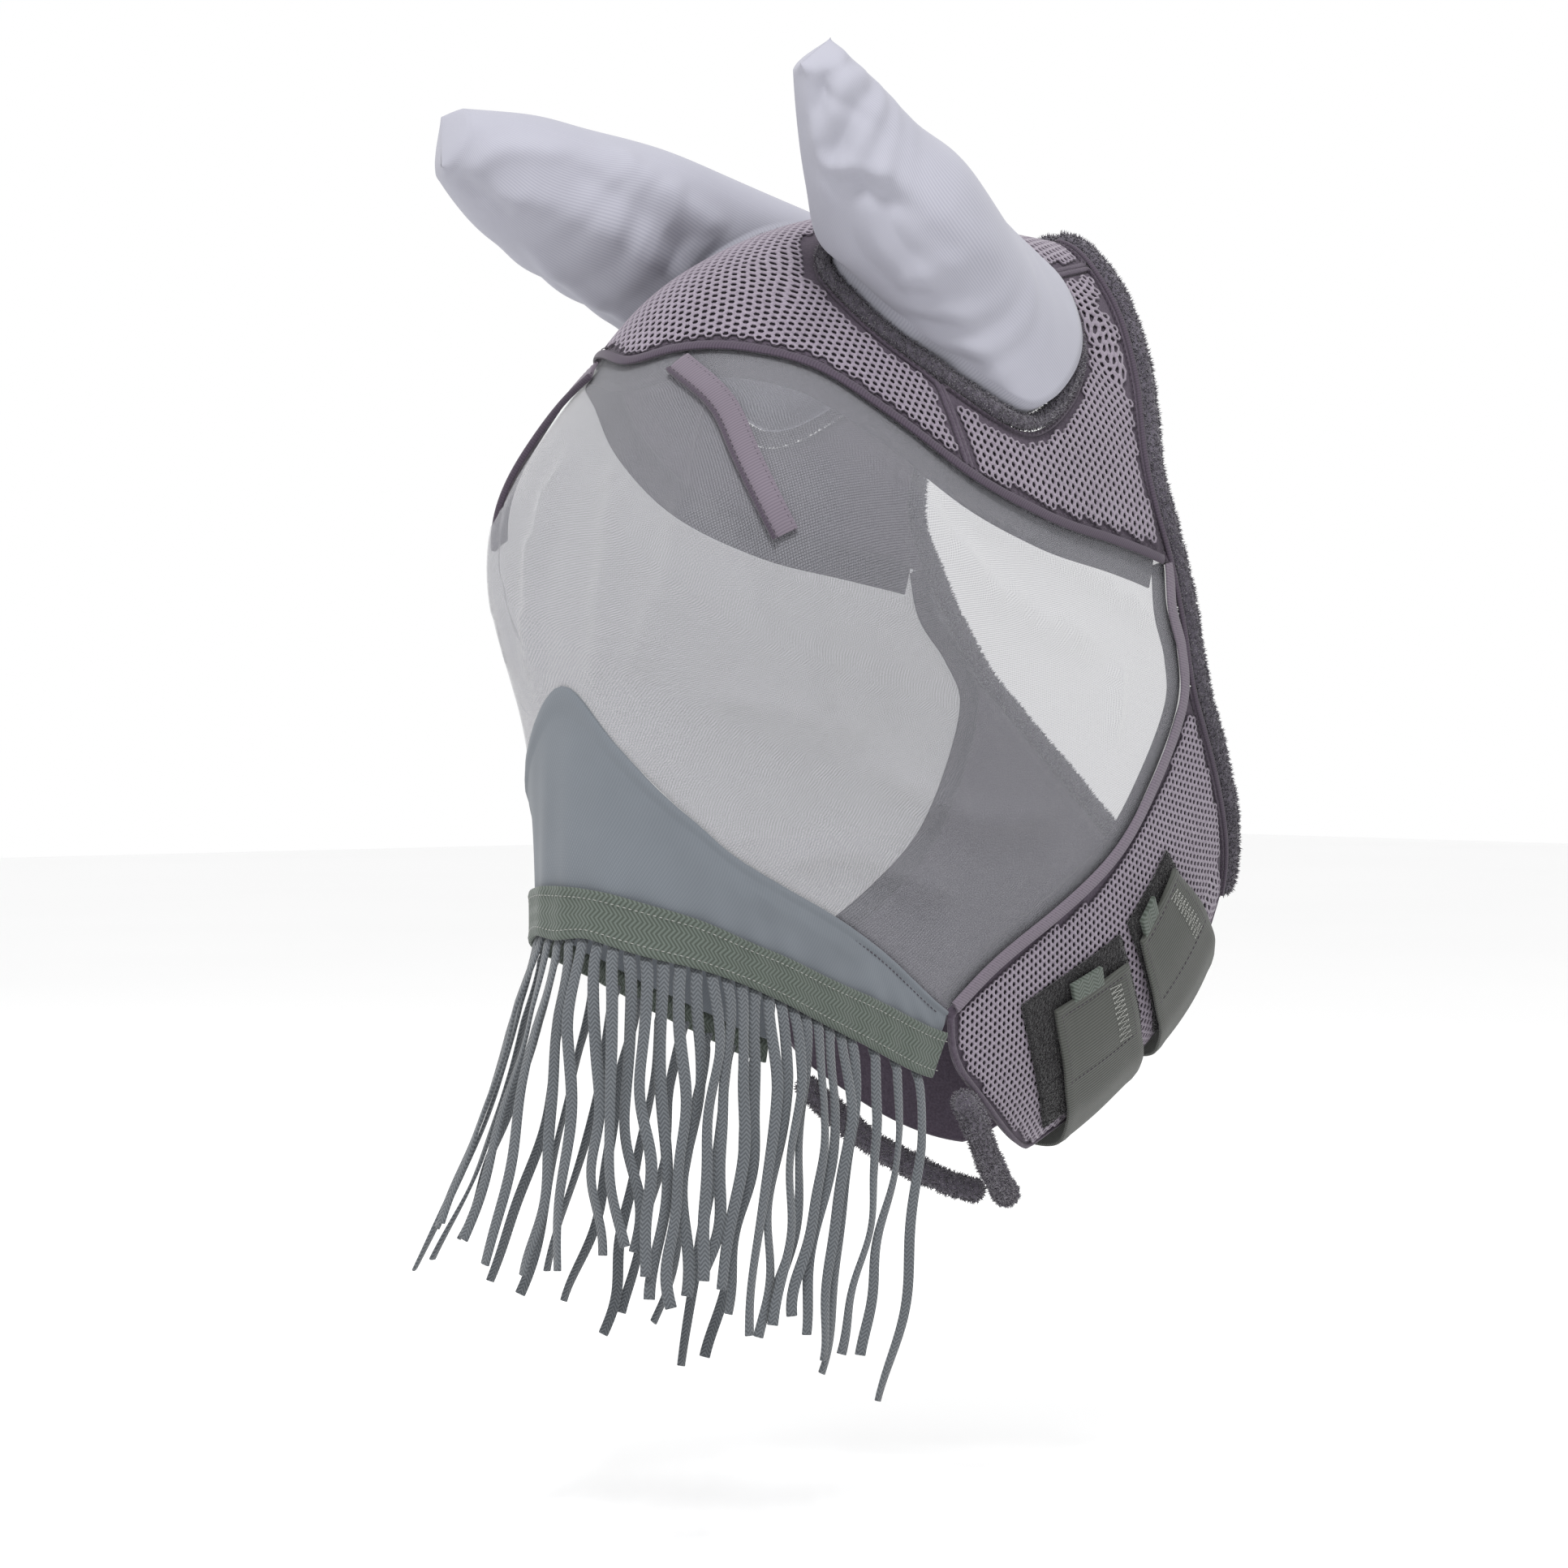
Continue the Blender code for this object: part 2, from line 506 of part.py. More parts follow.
# ------------------------------------------------------------ ear covers
def ear_cover(name, axis_points, widths, side):
    """A stretch-jersey bag over one ear, open at its base and closed at its blunt tip."""
    middle = OPENING.mean(axis=0)
    inward = unit(middle - OPENING)
    clearance = (2 * OPENING_ROLL_RADIUS + EAR_CLEARANCE) / MM
    foot = on_head(on_side(OPENING[::2] + inward[::2] * clearance, side) * MM)
    base = lift(foot, EAR_FOOT)
    neck = lift(foot, EAR_NECK)
    axis = smooth_line(axis_points, EAR_STATIONS) * MM
    towards = unit(np.gradient(axis, axis=0))
    first = base - base.mean(axis=0)
    count = len(base)
    stations = np.array(widths[::-1], float)
    ellipses = []
    for k in range(EAR_FREE_STATION, EAR_STATIONS):
        back = 1 - k / (EAR_STATIONS - 1)
        wide = np.interp(back, stations[:, 0], stations[:, 1]) * MM
        deep = np.interp(back, stations[:, 0], stations[:, 2]) * MM
        flat = first - (first @ towards[k])[:, None] * towards[k]
        sideways = unit(np.cross(towards[k], EAR_UPRIGHT))
        upright = np.cross(sideways, towards[k])
        angle = np.arctan2(flat @ upright / deep, flat @ sideways / wide)
        ellipses.append(axis[k] + sideways * (wide * np.cos(angle))[:, None]
                        + upright * (deep * np.sin(angle))[:, None])
    rings = [base, neck]
    rings += [neck + (ellipses[0] - neck) * share for share in EAR_BLEND]
    rings += ellipses
    outer = np.array(rings)
    outer[3:-1] = (outer[2:-2] + 2 * outer[3:-1] + outer[4:]) / 4
    inner = outer.copy()
    centres = outer.mean(axis=1, keepdims=True)
    inner += unit(centres - outer) * EAR_WALL
    inner[-1] -= towards[-1] * EAR_WALL
    vertices = np.vstack((outer.reshape(-1, 3), outer[-1].mean(axis=0)[None],
                          inner.reshape(-1, 3), inner[-1].mean(axis=0)[None]))
    layer = outer.shape[0] * count + 1
    faces = []
    for k in range(outer.shape[0] - 1):
        for j in range(count):
            a, b = k * count + j, k * count + (j + 1) % count
            faces.append((a, b, b + count, a + count))
            faces.append((layer + b, layer + a, layer + a + count, layer + b + count))
    last = (outer.shape[0] - 1) * count
    for j in range(count):
        a, b = last + j, last + (j + 1) % count
        faces.append((a, b, layer - 1))
        faces.append((layer + b, layer + a, 2 * layer - 1))
        faces.append(((j + 1) % count, j, layer + j, layer + (j + 1) % count))
    add_object(name, vertices, faces, "jersey")


# ------------------------------------------------------------ closure
def strap_grid(front, rear, columns, rows=4):
    return fill_patch(smooth_line(front, columns), smooth_line(rear, columns),
                      smooth_line((front[0], rear[0]), rows), smooth_line((front[-1], rear[-1]), rows))


LOOP_LOW = SPACER_THICKNESS + LAYER_GAP
LOOP_THICKNESS = 1.2 * MM
HOOK_LOW = LOOP_LOW + LOOP_THICKNESS + 0.6 * MM
HOOK_THICKNESS = 1.0 * MM
STRAP_NEAR = HOOK_LOW + HOOK_THICKNESS + 0.6 * MM
STRAP_FAR = SPACER_THICKNESS + LAYER_GAP


def strap_pivot(front, rear):
    """Middle of a strap's sewn off-side edge, on its inner face: the hinge it peels about."""
    sewn_edge = on_head((np.array(front[-1], float) + rear[-1]) / 2 * MM)
    return lift(sewn_edge[None], (STRAP_FAR,))[0]


def strap(name, front, rear):
    """Closure strap: from its hook end on the near cheek to its sewn end on the off side."""
    base = on_head(strap_grid(front, rear, 17) * MM)
    share = np.clip((base[..., 0] + 45 * MM) / (60 * MM), 0, 1)
    low = STRAP_FAR + (STRAP_NEAR - STRAP_FAR) * share
    shell(name, lift(base, low), lift(base, low + STRAP_THICKNESS), "strap_web",
          strap_pivot(front, rear))


def hook_tape(name, front, rear):
    """Hook tape sewn under a strap's near end."""
    grid = strap_grid(front, rear, 17)[:, 1:6]
    panel(name, grid, HOOK_LOW, HOOK_THICKNESS, "loop_tape", 2.0 * MM, strap_pivot(front, rear))


def loop_patch(name, corners):
    """Loop tape on the near cheek band, where a strap's hooks take hold."""
    top_front, top_rear, low_front, low_rear = (np.array(c, float) for c in corners)
    grid = fill_patch(smooth_line((top_front, low_front), 7), smooth_line((top_rear, low_rear), 7),
                      smooth_line((top_front, top_rear), 5), smooth_line((low_front, low_rear), 5))
    panel(name, grid, LOOP_LOW, LOOP_THICKNESS, "loop_tape", 0)


def pull_tab(name, front, rear, start, end):
    """Small folded webbing tab past a strap's near end, to peel it by."""
    edge = np.array(rear[0], float) - np.array(front[0], float)
    inward = np.array(front[1], float) - np.array(front[0], float)
    inward = inward / np.linalg.norm(inward)
    foot = np.array(front[0], float) + edge * start - inward * 0.8
    far = np.array(front[0], float) + edge * end - inward * 0.8
    grid = fill_patch(smooth_line((foot, foot - inward * 9), 4), smooth_line((far, far - inward * 9), 4),
                      smooth_line((foot, far), 3), smooth_line((foot - inward * 9, far - inward * 9), 3))
    panel(name, grid, STRAP_NEAR, STRAP_THICKNESS, "webbing", 0, strap_pivot(front, rear))


# ------------------------------------------------------------ fringe
CORD_LENGTH = 153.0 * MM
CORD_POINTS = 12
CORD_SWAY = 3.0 * MM
CORD_TURNS = 1.3                   # waves down one cord
CORD_STANDOFF = 3.0 * MM           # how far they hang clear of the nose panel
CORD_LAYER = 2.6 * MM              # every second cord hangs this much further out
# How far the tips lean, (x, y) in mm, at places round the noseband: -1 off side, 1 near side.
CORD_LEAN_PLACES = (-1.0, -0.45, -0.2, -0.02, 0.12, 0.4, 1.0)
CORD_LEANS = ((6, -30), (-12, -30), (-42, -26), (-26, -20), (16, 0), (2, -18), (-8, -22))


def cord_roots():
    """Where the cords leave the noseband's lower edge, right to left, and their hinge axes."""
    edge = on_head(smooth_line(across(NOSEBAND_BOTTOM), 200) * MM)
    length = np.concatenate(((0,), np.cumsum(np.linalg.norm(np.diff(edge, axis=0), axis=1))))
    stops = np.linspace(0.02, 0.98, CORD_COUNT) * length[-1]
    places = np.stack([np.interp(stops, length, edge[:, axis]) for axis in range(3)], axis=1)
    along = np.stack([np.interp(stops, length, g) for g in np.gradient(edge, axis=0).T], axis=1)
    along[:, 2] = 0
    tops = places + head_normal(places) * (CLOTH_THICKNESS + LAYER_GAP)
    tops[:, 2] -= CORD_DIAMETER / 2 + 1.0 * MM
    return tops, unit(along)


def cord_route(index, top, along):
    """A cord hanging from its top, leaning forwards with the muzzle, with its own sway."""
    place = 2 * index / (CORD_COUNT - 1) - 1
    outward = np.array((along[1], -along[0], 0.0))
    share = np.linspace(0, 1, CORD_POINTS)
    lean = np.interp(place, CORD_LEAN_PLACES, [x for x, _ in CORD_LEANS])
    forward = np.interp(place, CORD_LEAN_PLACES, [y for _, y in CORD_LEANS])
    wave = CORD_SWAY * np.sin(2 * math.pi * share * CORD_TURNS + 2.4 * index)
    wave = wave * np.sqrt(share) * (1 - 0.4 * share)
    clear = CORD_STANDOFF * np.minimum(share * 5, 1) + CORD_LAYER * (index % 2) * np.minimum(share * 4, 1)
    route = np.tile(top, (CORD_POINTS, 1))
    route += along * wave[:, None] + outward * clear[:, None]
    route[:, 0] += lean * MM * share ** 1.5
    route[:, 1] += forward * MM * share ** 1.5
    route[:, 2] -= CORD_LENGTH * (0.95 + 0.07 * math.sin(1.9 * index)) * share
    return route


def fringe():
    """Flat knitted cords hanging from under the noseband's lower edge."""
    for index, (top, along) in enumerate(zip(*cord_roots())):
        route = cord_route(index, top, along)
        tube(f"fringe_cord_{index + 1:02d}", route, CORD_DIAMETER / 2, "cord", top)


def main():
    clear_scene()
    brow_panel()
    poll_panel()
    brow_facing()
    brow_binding()
    face_mesh()
    nose_panel()
    noseband()
    ears = {1: (LEFT_EAR_AXIS, LEFT_EAR_WIDTHS), -1: (RIGHT_EAR_AXIS, RIGHT_EAR_WIDTHS)}
    for label, side in (("left", 1), ("right", -1)):
        temple_panel(f"{label}_temple_panel", side)
        cheek_band(f"{label}_cheek_band", side)
        cheek_binding(f"{label}_cheek_binding", side)
        eye_dart(f"{label}_eye_dart_tape", side)
        rear_fleece(f"{label}_rear_fleece", side)
        opening_fleece(f"{label}_ear_opening_fleece", side)
        chin_roll(f"{label}_chin_roll", side)
        ear_cover(f"{label}_ear_cover", *ears[side], side)
    strap("front_closure_strap", FRONT_STRAP_FRONT, FRONT_STRAP_REAR)
    strap("rear_closure_strap", REAR_STRAP_FRONT, REAR_STRAP_REAR)
    hook_tape("front_hook_tape", FRONT_STRAP_FRONT, FRONT_STRAP_REAR)
    hook_tape("rear_hook_tape", REAR_STRAP_FRONT, REAR_STRAP_REAR)
    loop_patch("front_loop_patch", ((60, 116, -380), (60, 184, -347), (30, 158, -442), (28, 226, -403)))
    loop_patch("rear_loop_patch", ((60, 188, -340), (63, 212, -304), (28, 238, -398), (33, 264, -350)))
    pull_tab("front_pull_tab", FRONT_STRAP_FRONT, FRONT_STRAP_REAR, 0.25, 0.65)
    pull_tab("rear_pull_tab", REAR_STRAP_FRONT, REAR_STRAP_REAR, 0.1, 0.45)
    fringe()


main()
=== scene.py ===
# %% [markdown]
# # A horse's fly mask
# The mask is sewn from several cloths: thick spacer mesh over the crown and cheeks, a see-through net
# over the eyes, stretch jersey over the ears, close cloth and webbing round the nose, fleece rolls
# along the edges and a fringe of knitted cords. We load its CAD frame first, because every piece we
# make later rides on one of its bodies.

import math

import bmesh
import bpy
import numpy as np
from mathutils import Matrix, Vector
from mathutils.bvhtree import BVHTree
from mathutils.geometry import barycentric_transform


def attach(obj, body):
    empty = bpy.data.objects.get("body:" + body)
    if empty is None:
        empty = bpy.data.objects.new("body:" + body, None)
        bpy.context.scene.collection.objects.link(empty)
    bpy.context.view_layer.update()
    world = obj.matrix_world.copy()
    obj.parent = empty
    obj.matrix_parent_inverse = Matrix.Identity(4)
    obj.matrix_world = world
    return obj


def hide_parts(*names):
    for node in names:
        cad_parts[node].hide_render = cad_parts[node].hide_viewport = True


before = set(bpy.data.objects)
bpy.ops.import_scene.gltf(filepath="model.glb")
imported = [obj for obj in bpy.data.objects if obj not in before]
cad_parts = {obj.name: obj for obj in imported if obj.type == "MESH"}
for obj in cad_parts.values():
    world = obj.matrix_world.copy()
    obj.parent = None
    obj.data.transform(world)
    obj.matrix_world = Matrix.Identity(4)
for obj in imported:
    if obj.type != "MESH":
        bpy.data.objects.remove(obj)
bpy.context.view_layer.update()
MM = 0.001

# %% [markdown]
# ## Camera
# A long lens from 2.3 m away, a little to the horse's left of its face, nearly level with it. We put
# the camera in first, so that each piece can be judged in the view that it is made for.

# %% Camera
VIEW_AZIMUTH, VIEW_ELEVATION = math.radians(50), math.radians(1)
VIEW_DISTANCE = 2.3
VIEW_TARGET = Vector((0, 0.016, -0.270))
SENSOR_WIDTH = 36.0
PICTURE_WIDTH = 772.8 * MM                    # what the frame takes in, at the target
towards_camera = Vector((math.sin(VIEW_AZIMUTH) * math.cos(VIEW_ELEVATION),
                         -math.cos(VIEW_AZIMUTH) * math.cos(VIEW_ELEVATION), math.sin(VIEW_ELEVATION)))
camera_data = bpy.data.cameras.new("camera")
camera_data.sensor_width = SENSOR_WIDTH
camera_data.lens = SENSOR_WIDTH * VIEW_DISTANCE / PICTURE_WIDTH
camera = bpy.data.objects.new("camera", camera_data)
camera.location = VIEW_TARGET + towards_camera * VIEW_DISTANCE
camera.rotation_euler = towards_camera.to_track_quat("Z", "Y").to_euler()
bpy.context.collection.objects.link(camera)
bpy.context.scene.camera = camera
bpy.context.scene.view_settings.view_transform = "Standard"
print("lens:", round(camera_data.lens, 1), "mm")

# %% [markdown]
# ## The head that the mask is cut for
# The mask has no stiff parts: its shape is the shape of a horse's head. So we describe the head once,
# as a distance from its middle for every direction, and lay every panel on it. The forehead is flat,
# the cheeks swell, and over each eye the darts hold the net away in a low dome.

# %% Head form
HEART = np.array((0.0, 90.0, -220.0)) * MM
HEAD_PROFILE = ((-40, -26), (-76, -70), (-98, -125), (-112, -185), (-118, -250), (-122, -344),
                (-128, -420), (-100, -510), (13, -552), (142, -474), (215, -434), (274, -387),
                (307, -325), (345, -240), (385, -130), (350, -20), (220, 2), (100, 10), (30, 5))
EYE_LONGITUDE, EYE_LATITUDE = math.radians(34), math.radians(17)
EYE_DOME_HEIGHT, EYE_DOME_SPREAD = 34.0 * MM, math.radians(22)
HEAD_HALF_WIDTH, CHEEK_SWELL = 68.0 * MM, 42.0 * MM
CHEEK_PLACE, CHEEK_SPREAD = np.array((60.0, -150.0)) * MM, np.array((190.0, 140.0)) * MM


def smooth_line(points, count, closed=False, steps=16):
    """Even points along a Catmull-Rom curve through the given ones."""
    pts = np.array(points, float)
    if closed:
        padded = np.vstack((pts[-1], pts, pts[0], pts[1]))
    else:
        padded = np.vstack((2 * pts[0] - pts[1], pts, 2 * pts[-1] - pts[-2]))
    curve = []
    for a, b, c, d in zip(padded[:-3], padded[1:-2], padded[2:-1], padded[3:]):
        for t in np.arange(steps) / steps:
            curve.append(0.5 * (2 * b + (c - a) * t + (2 * a - 5 * b + 4 * c - d) * t ** 2
                                + (3 * b - a - 3 * c + d) * t ** 3))
    curve.append(padded[-2])
    curve = np.array(curve)
    length = np.concatenate(((0,), np.cumsum(np.linalg.norm(np.diff(curve, axis=0), axis=1))))
    stops = np.linspace(0, length[-1], count + 1)[:-1] if closed else np.linspace(0, length[-1], count)
    return np.stack([np.interp(stops, length, curve[:, axis]) for axis in range(3)], axis=1)


ring = smooth_line([(0.0, y, z) for y, z in HEAD_PROFILE], 400, closed=True) * MM
angles = np.arctan2(ring[:, 2] - HEART[2], HEART[1] - ring[:, 1])
order = np.argsort(angles)
PROFILE_ANGLE = angles[order]
PROFILE_REACH = np.hypot(ring[:, 1] - HEART[1], ring[:, 2] - HEART[2])[order]


def unit(vectors):
    return vectors / np.linalg.norm(vectors, axis=-1, keepdims=True)


def fullness(points):
    """Below 1 inside the bare head, above 1 outside."""
    y, z = points[..., 1] - HEART[1], points[..., 2] - HEART[2]
    angle = np.arctan2(z, -y)
    reach = np.interp(angle, PROFILE_ANGLE, PROFILE_REACH, period=2 * math.pi)
    cheek = ((points[..., 1:] - CHEEK_PLACE) / CHEEK_SPREAD) ** 2
    half_width = HEAD_HALF_WIDTH + CHEEK_SWELL * np.exp(-cheek.sum(-1))
    flatness = 3.2 * np.exp(-((angle - math.radians(15)) / math.radians(48)) ** 2)
    return np.abs(points[..., 0] / half_width) ** 2.1 + (np.hypot(y, z) / reach) ** (2.5 + flatness)


def head_reach(directions):
    """Distance from the heart to the mask's inner face along unit directions."""
    low = np.zeros(directions.shape[:-1])
    high = np.full(directions.shape[:-1], 0.6)
    for _ in range(26):
        middle = (low + high) / 2
        outside = fullness(HEART + directions * middle[..., None]) > 1
        high = np.where(outside, middle, high)
        low = np.where(outside, low, middle)
    for side in (1, -1):
        eye = np.array((side * math.sin(EYE_LONGITUDE) * math.cos(EYE_LATITUDE),
                        -math.cos(EYE_LONGITUDE) * math.cos(EYE_LATITUDE), math.sin(EYE_LATITUDE)))
        angle = np.arccos(np.clip(directions @ eye, -1, 1))
        low = low + EYE_DOME_HEIGHT * np.exp(-(angle / EYE_DOME_SPREAD) ** 2)
    return low


def on_head(points):
    directions = unit(np.asarray(points, float) - HEART)
    return HEART + directions * head_reach(directions)[..., None]


def head_normal(points):
    slope = []
    for axis in np.eye(3) * 0.5 * MM:
        ahead, behind = points + axis - HEART, points - axis - HEART
        slope.append(np.linalg.norm(ahead, axis=-1) - head_reach(unit(ahead))
                     - np.linalg.norm(behind, axis=-1) + head_reach(unit(behind)))
    return unit(np.stack(slope, axis=-1))


def lift(points, height):
    """Points on the head raised by a height in metres."""
    return points + head_normal(points) * np.asarray(height)[..., None]


cheek_half_width = float(on_head(HEART + np.array((1, 0, 0)))[0])
print("head form ready; half width at the cheek:", round(cheek_half_width, 4), "m")

# %% [markdown]
# ## Seam lines
# A sewn thing is best described by its seams. These are the seams of the left half in millimetres;
# the right half mirrors them. Each panel is then a patch stretched between four of them.

# %% Seam lines
BROW_LINE = ((0, -76, -70), (29, -67, -66), (56, -49, -68), (75, -25, -78), (94, 4, -100),
             (105, 42, -123), (105, 94, -141), (99, 145, -151), (91, 187, -160))
REAR_LINE = ((0, 191, 2), (30, 191, -12), (52, 192, -38), (69, 187, -68), (85, 177, -106),
             (91, 179, -135), (91, 191, -162), (84, 204, -195), (77, 222, -224), (60, 252, -265),
             (40, 280, -308), (27, 292, -334))
EAR_OPENING = ((24, 40, 5), (40, 2, -20), (67, 7, -49), (87, 37, -76), (96, 84, -99),
               (84, 126, -83), (65, 152, -53), (42, 150, -14), (26, 100, 8))
CHEEK_FRONT_LINE = ((77, 214, -224), (73, 198, -269), (70, 172, -305), (68, 136, -333),
                    (67, 93, -360), (65, 65, -381))
CHEEK_BINDING_LINE = ((87, 189, -184), (81, 201, -205), (76, 209, -230), (73, 195, -269),
                      (70, 170, -305), (68, 134, -333), (67, 92, -360), (65, 65, -381))
CHIN_LINE = ((65, 65, -381), (60, 74, -408), (49, 106, -434), (20, 158, -453))
JAW_LINE = ((20, 158, -453), (18, 190, -440), (18, 238, -408), (22, 275, -368), (27, 292, -334))
NOSE_LINE = ((0, -118, -222), (34, -110, -251), (55, -88, -281), (63, -70, -300),
             (70, -26, -324), (70, 15, -347), (65, 65, -381))
NOSEBAND_TOP = ((0, -119, -316), (29, -111, -319), (53, -86, -331), (64, -46, -347),
                (66, 8, -368), (63, 64, -390))
NOSEBAND_BOTTOM = ((0, -119, -341), (23, -116, -342), (52, -85, -354), (62, -44, -370),
                   (63, 6, -392), (60, 57, -413))
DART_LINE = ((31, -70, -74), (60, -65, -98), (78, -60, -129), (91, -48, -163))
CHIN_ROLL_LINE = ((61, 78, -423), (56, 92, -437), (42, 114, -458), (22, 142, -476), (9, 158, -482))


def mirrored(points):
    flipped = np.array(points, float)[::-1].copy()
    flipped[:, 0] *= -1
    return flipped


def across(points):
    """A half line grown into a whole one, from the right end to the left."""
    return np.vstack((mirrored(points)[:-1], np.array(points, float)))


def cut_line(points, first, last, count):
    """Even points along part of a curve, between the places nearest to two of its points."""
    dense = smooth_line(points, 900)
    start = int(np.argmin(np.linalg.norm(dense - first, axis=1)))
    end = int(np.argmin(np.linalg.norm(dense - last, axis=1)))
    piece = dense[start:end + 1]
    return piece[np.linspace(0, len(piece) - 1, count).round().astype(int)]


def fill_patch(bottom, top, left, right):
    """Grid of points between four edge lines (a Coons patch)."""
    u = np.linspace(0, 1, len(bottom))[None, :, None]
    v = np.linspace(0, 1, len(left))[:, None, None]
    ruled_v = (1 - v) * bottom[None] + v * top[None]
    ruled_u = (1 - u) * left[:, None] + u * right[:, None]
    corners = ((1 - u) * (1 - v) * bottom[0] + u * (1 - v) * bottom[-1]
               + (1 - u) * v * top[0] + u * v * top[-1])
    return ruled_v + ruled_u - corners


def on_side(points, side):
    turned = np.array(points, float)
    turned[..., 0] *= side
    return turned


def ridge(points, path, width, height):
    """A soft fold along a path (mm): how much it raises each point (metres) of a surface."""
    line = smooth_line(path, 24) * MM
    surface = points.reshape(-1, 3)
    line = surface[[int(((surface - p) ** 2).sum(-1).argmin()) for p in line]]
    gap = np.linalg.norm(points[..., None, :] - line, axis=-1)
    nearest = gap.argmin(axis=-1)
    along = nearest / (len(line) - 1)
    fade = np.clip(np.minimum(along, 1 - along) * 6 + 0.25, 0, 1)
    return height * MM * fade * np.exp(-(gap.min(axis=-1) / (width * MM)) ** 2)


print("brow seam:", round(float(np.linalg.norm(np.diff(smooth_line(across(BROW_LINE), 99), axis=0),
                                               axis=1).sum())), "mm")

# %% [markdown]
# ## Building blocks
# Three small helpers do most of the work: one adds a shader or geometry node, one makes a mesh with a
# UV map measured in metres, so that a thread pitch in millimetres comes out at its true size, and one
# runs a Geometry Nodes tree and keeps its result as a plain mesh.

# %% Helpers
def linear(hex_colour):
    """sRGB hex to the linear colour that Blender's shaders use."""
    parts = [int(hex_colour[i:i + 2], 16) / 255 for i in (1, 3, 5)]
    return (*[c / 12.92 if c <= 0.04045 else ((c + 0.055) / 1.055) ** 2.4 for c in parts], 1)


def add(tree, kind, inputs=None, **settings):
    """One node with its settings; an input is a value or the socket that feeds it."""
    node = tree.nodes.new(kind)
    for name, value in settings.items():
        setattr(node, name, value)
    for key, value in (inputs or {}).items():
        if isinstance(value, bpy.types.NodeSocket):
            tree.links.new(value, node.inputs[key])
        else:
            node.inputs[key].default_value = value
    return node


def make_object(name, vertices, faces, finish, uv=None, smooth=True):
    """A mesh object at the origin; uv holds one (u, v) in metres for each vertex."""
    mesh = bpy.data.meshes.new(name)
    mesh.from_pydata([tuple(v) for v in vertices], [], faces)
    if uv is not None:
        layer = mesh.uv_layers.new(name="UVMap")
        corners = np.zeros(len(mesh.loops), int)
        mesh.loops.foreach_get("vertex_index", corners)
        layer.data.foreach_set("uv", np.asarray(uv, float)[corners].ravel())
    mesh.materials.append(finish)
    shape = bmesh.new()
    shape.from_mesh(mesh)
    bmesh.ops.recalc_face_normals(shape, faces=shape.faces)
    shape.to_mesh(mesh)
    shape.free()
    if smooth:
        mesh.shade_smooth()
    made = bpy.data.objects.new(name.replace(" ", "_"), mesh)
    bpy.context.collection.objects.link(made)
    return made


def grid_metres(grid):
    """How far each grid point lies along its row and up its column, in metres."""
    rows = np.linalg.norm(np.diff(grid, axis=1), axis=-1)
    along = np.concatenate((np.zeros((grid.shape[0], 1)), np.cumsum(rows, axis=1)), axis=1)
    along -= along[:, -1:] / 2
    steps = np.linalg.norm(np.diff(grid, axis=0), axis=-1).mean(axis=1)
    up = np.concatenate(((0,), np.cumsum(steps)))
    return along, np.repeat(up[:, None], grid.shape[1], axis=1)


def shell(name, inner, outer, finish, edge=0.4 * MM):
    """A closed cloth panel between two matching grids, with softened edges."""
    rows, columns = inner.shape[:2]
    count = rows * columns
    along, up = grid_metres(outer)
    uv = np.stack((along, up), axis=-1).reshape(-1, 2)
    faces = []
    for i in range(rows - 1):
        for j in range(columns - 1):
            a = i * columns + j
            quad = (a, a + 1, a + columns + 1, a + columns)
            faces += [quad, tuple(count + k for k in reversed(quad))]
    rim = list(range(columns)) + [i * columns + columns - 1 for i in range(1, rows)]
    rim += [(rows - 1) * columns + j for j in range(columns - 2, -1, -1)]
    rim += [i * columns for i in range(rows - 2, 0, -1)]
    for a, b in zip(rim, rim[1:] + rim[:1]):
        faces.append((b, a, a + count, b + count))
    vertices = np.vstack((inner.reshape(-1, 3), outer.reshape(-1, 3)))
    made = make_object(name, vertices, faces, finish, np.vstack((uv, uv)))
    if edge:
        soft = made.modifiers.new("softened edge", "BEVEL")
        soft.width = edge
        soft.segments = 2
        soft.angle_limit = math.radians(60)
    return made


def run_nodes(made, tree, values):
    """Run a Geometry Nodes tree on an object and keep the result as its plain mesh."""
    modifier = made.modifiers.new("nodes", "NODES")
    modifier.node_group = tree
    for item in tree.interface.items_tree:
        if item.name in values:
            modifier[item.identifier] = values[item.name]
    made.update_tag()
    evaluated = made.evaluated_get(bpy.context.evaluated_depsgraph_get())
    result = bpy.data.meshes.new_from_object(evaluated)
    made.modifiers.remove(modifier)
    made.data = result
    result.name = made.name
    return made


def new_tree(name, sockets):
    """An empty geometry tree with a mesh going in and out, and named inputs."""
    tree = bpy.data.node_groups.new(name, "GeometryNodeTree")
    tree.interface.new_socket("Geometry", in_out="OUTPUT", socket_type="NodeSocketGeometry")
    tree.interface.new_socket("Geometry", in_out="INPUT", socket_type="NodeSocketGeometry")
    for label, kind in sockets:
        tree.interface.new_socket(label, in_out="INPUT", socket_type=kind)
    return tree, add(tree, "NodeGroupInput").outputs


print("helpers ready")

# %% [markdown]
# ## Patterns that repeat: knit holes, fleece pile and stitches
# Spacer mesh has real holes, so we cut them: a lattice of triangles becomes hexagons (Dual Mesh), each
# hexagon keeps only a rim of yarn, and the rims get a thickness. Fleece is a roll covered in short
# tapered fibres. A stitch is a tiny stretched ball, placed at every stitch length along a seam. Each
# ends in Realize Instances, because instances alone don't leave Blender.

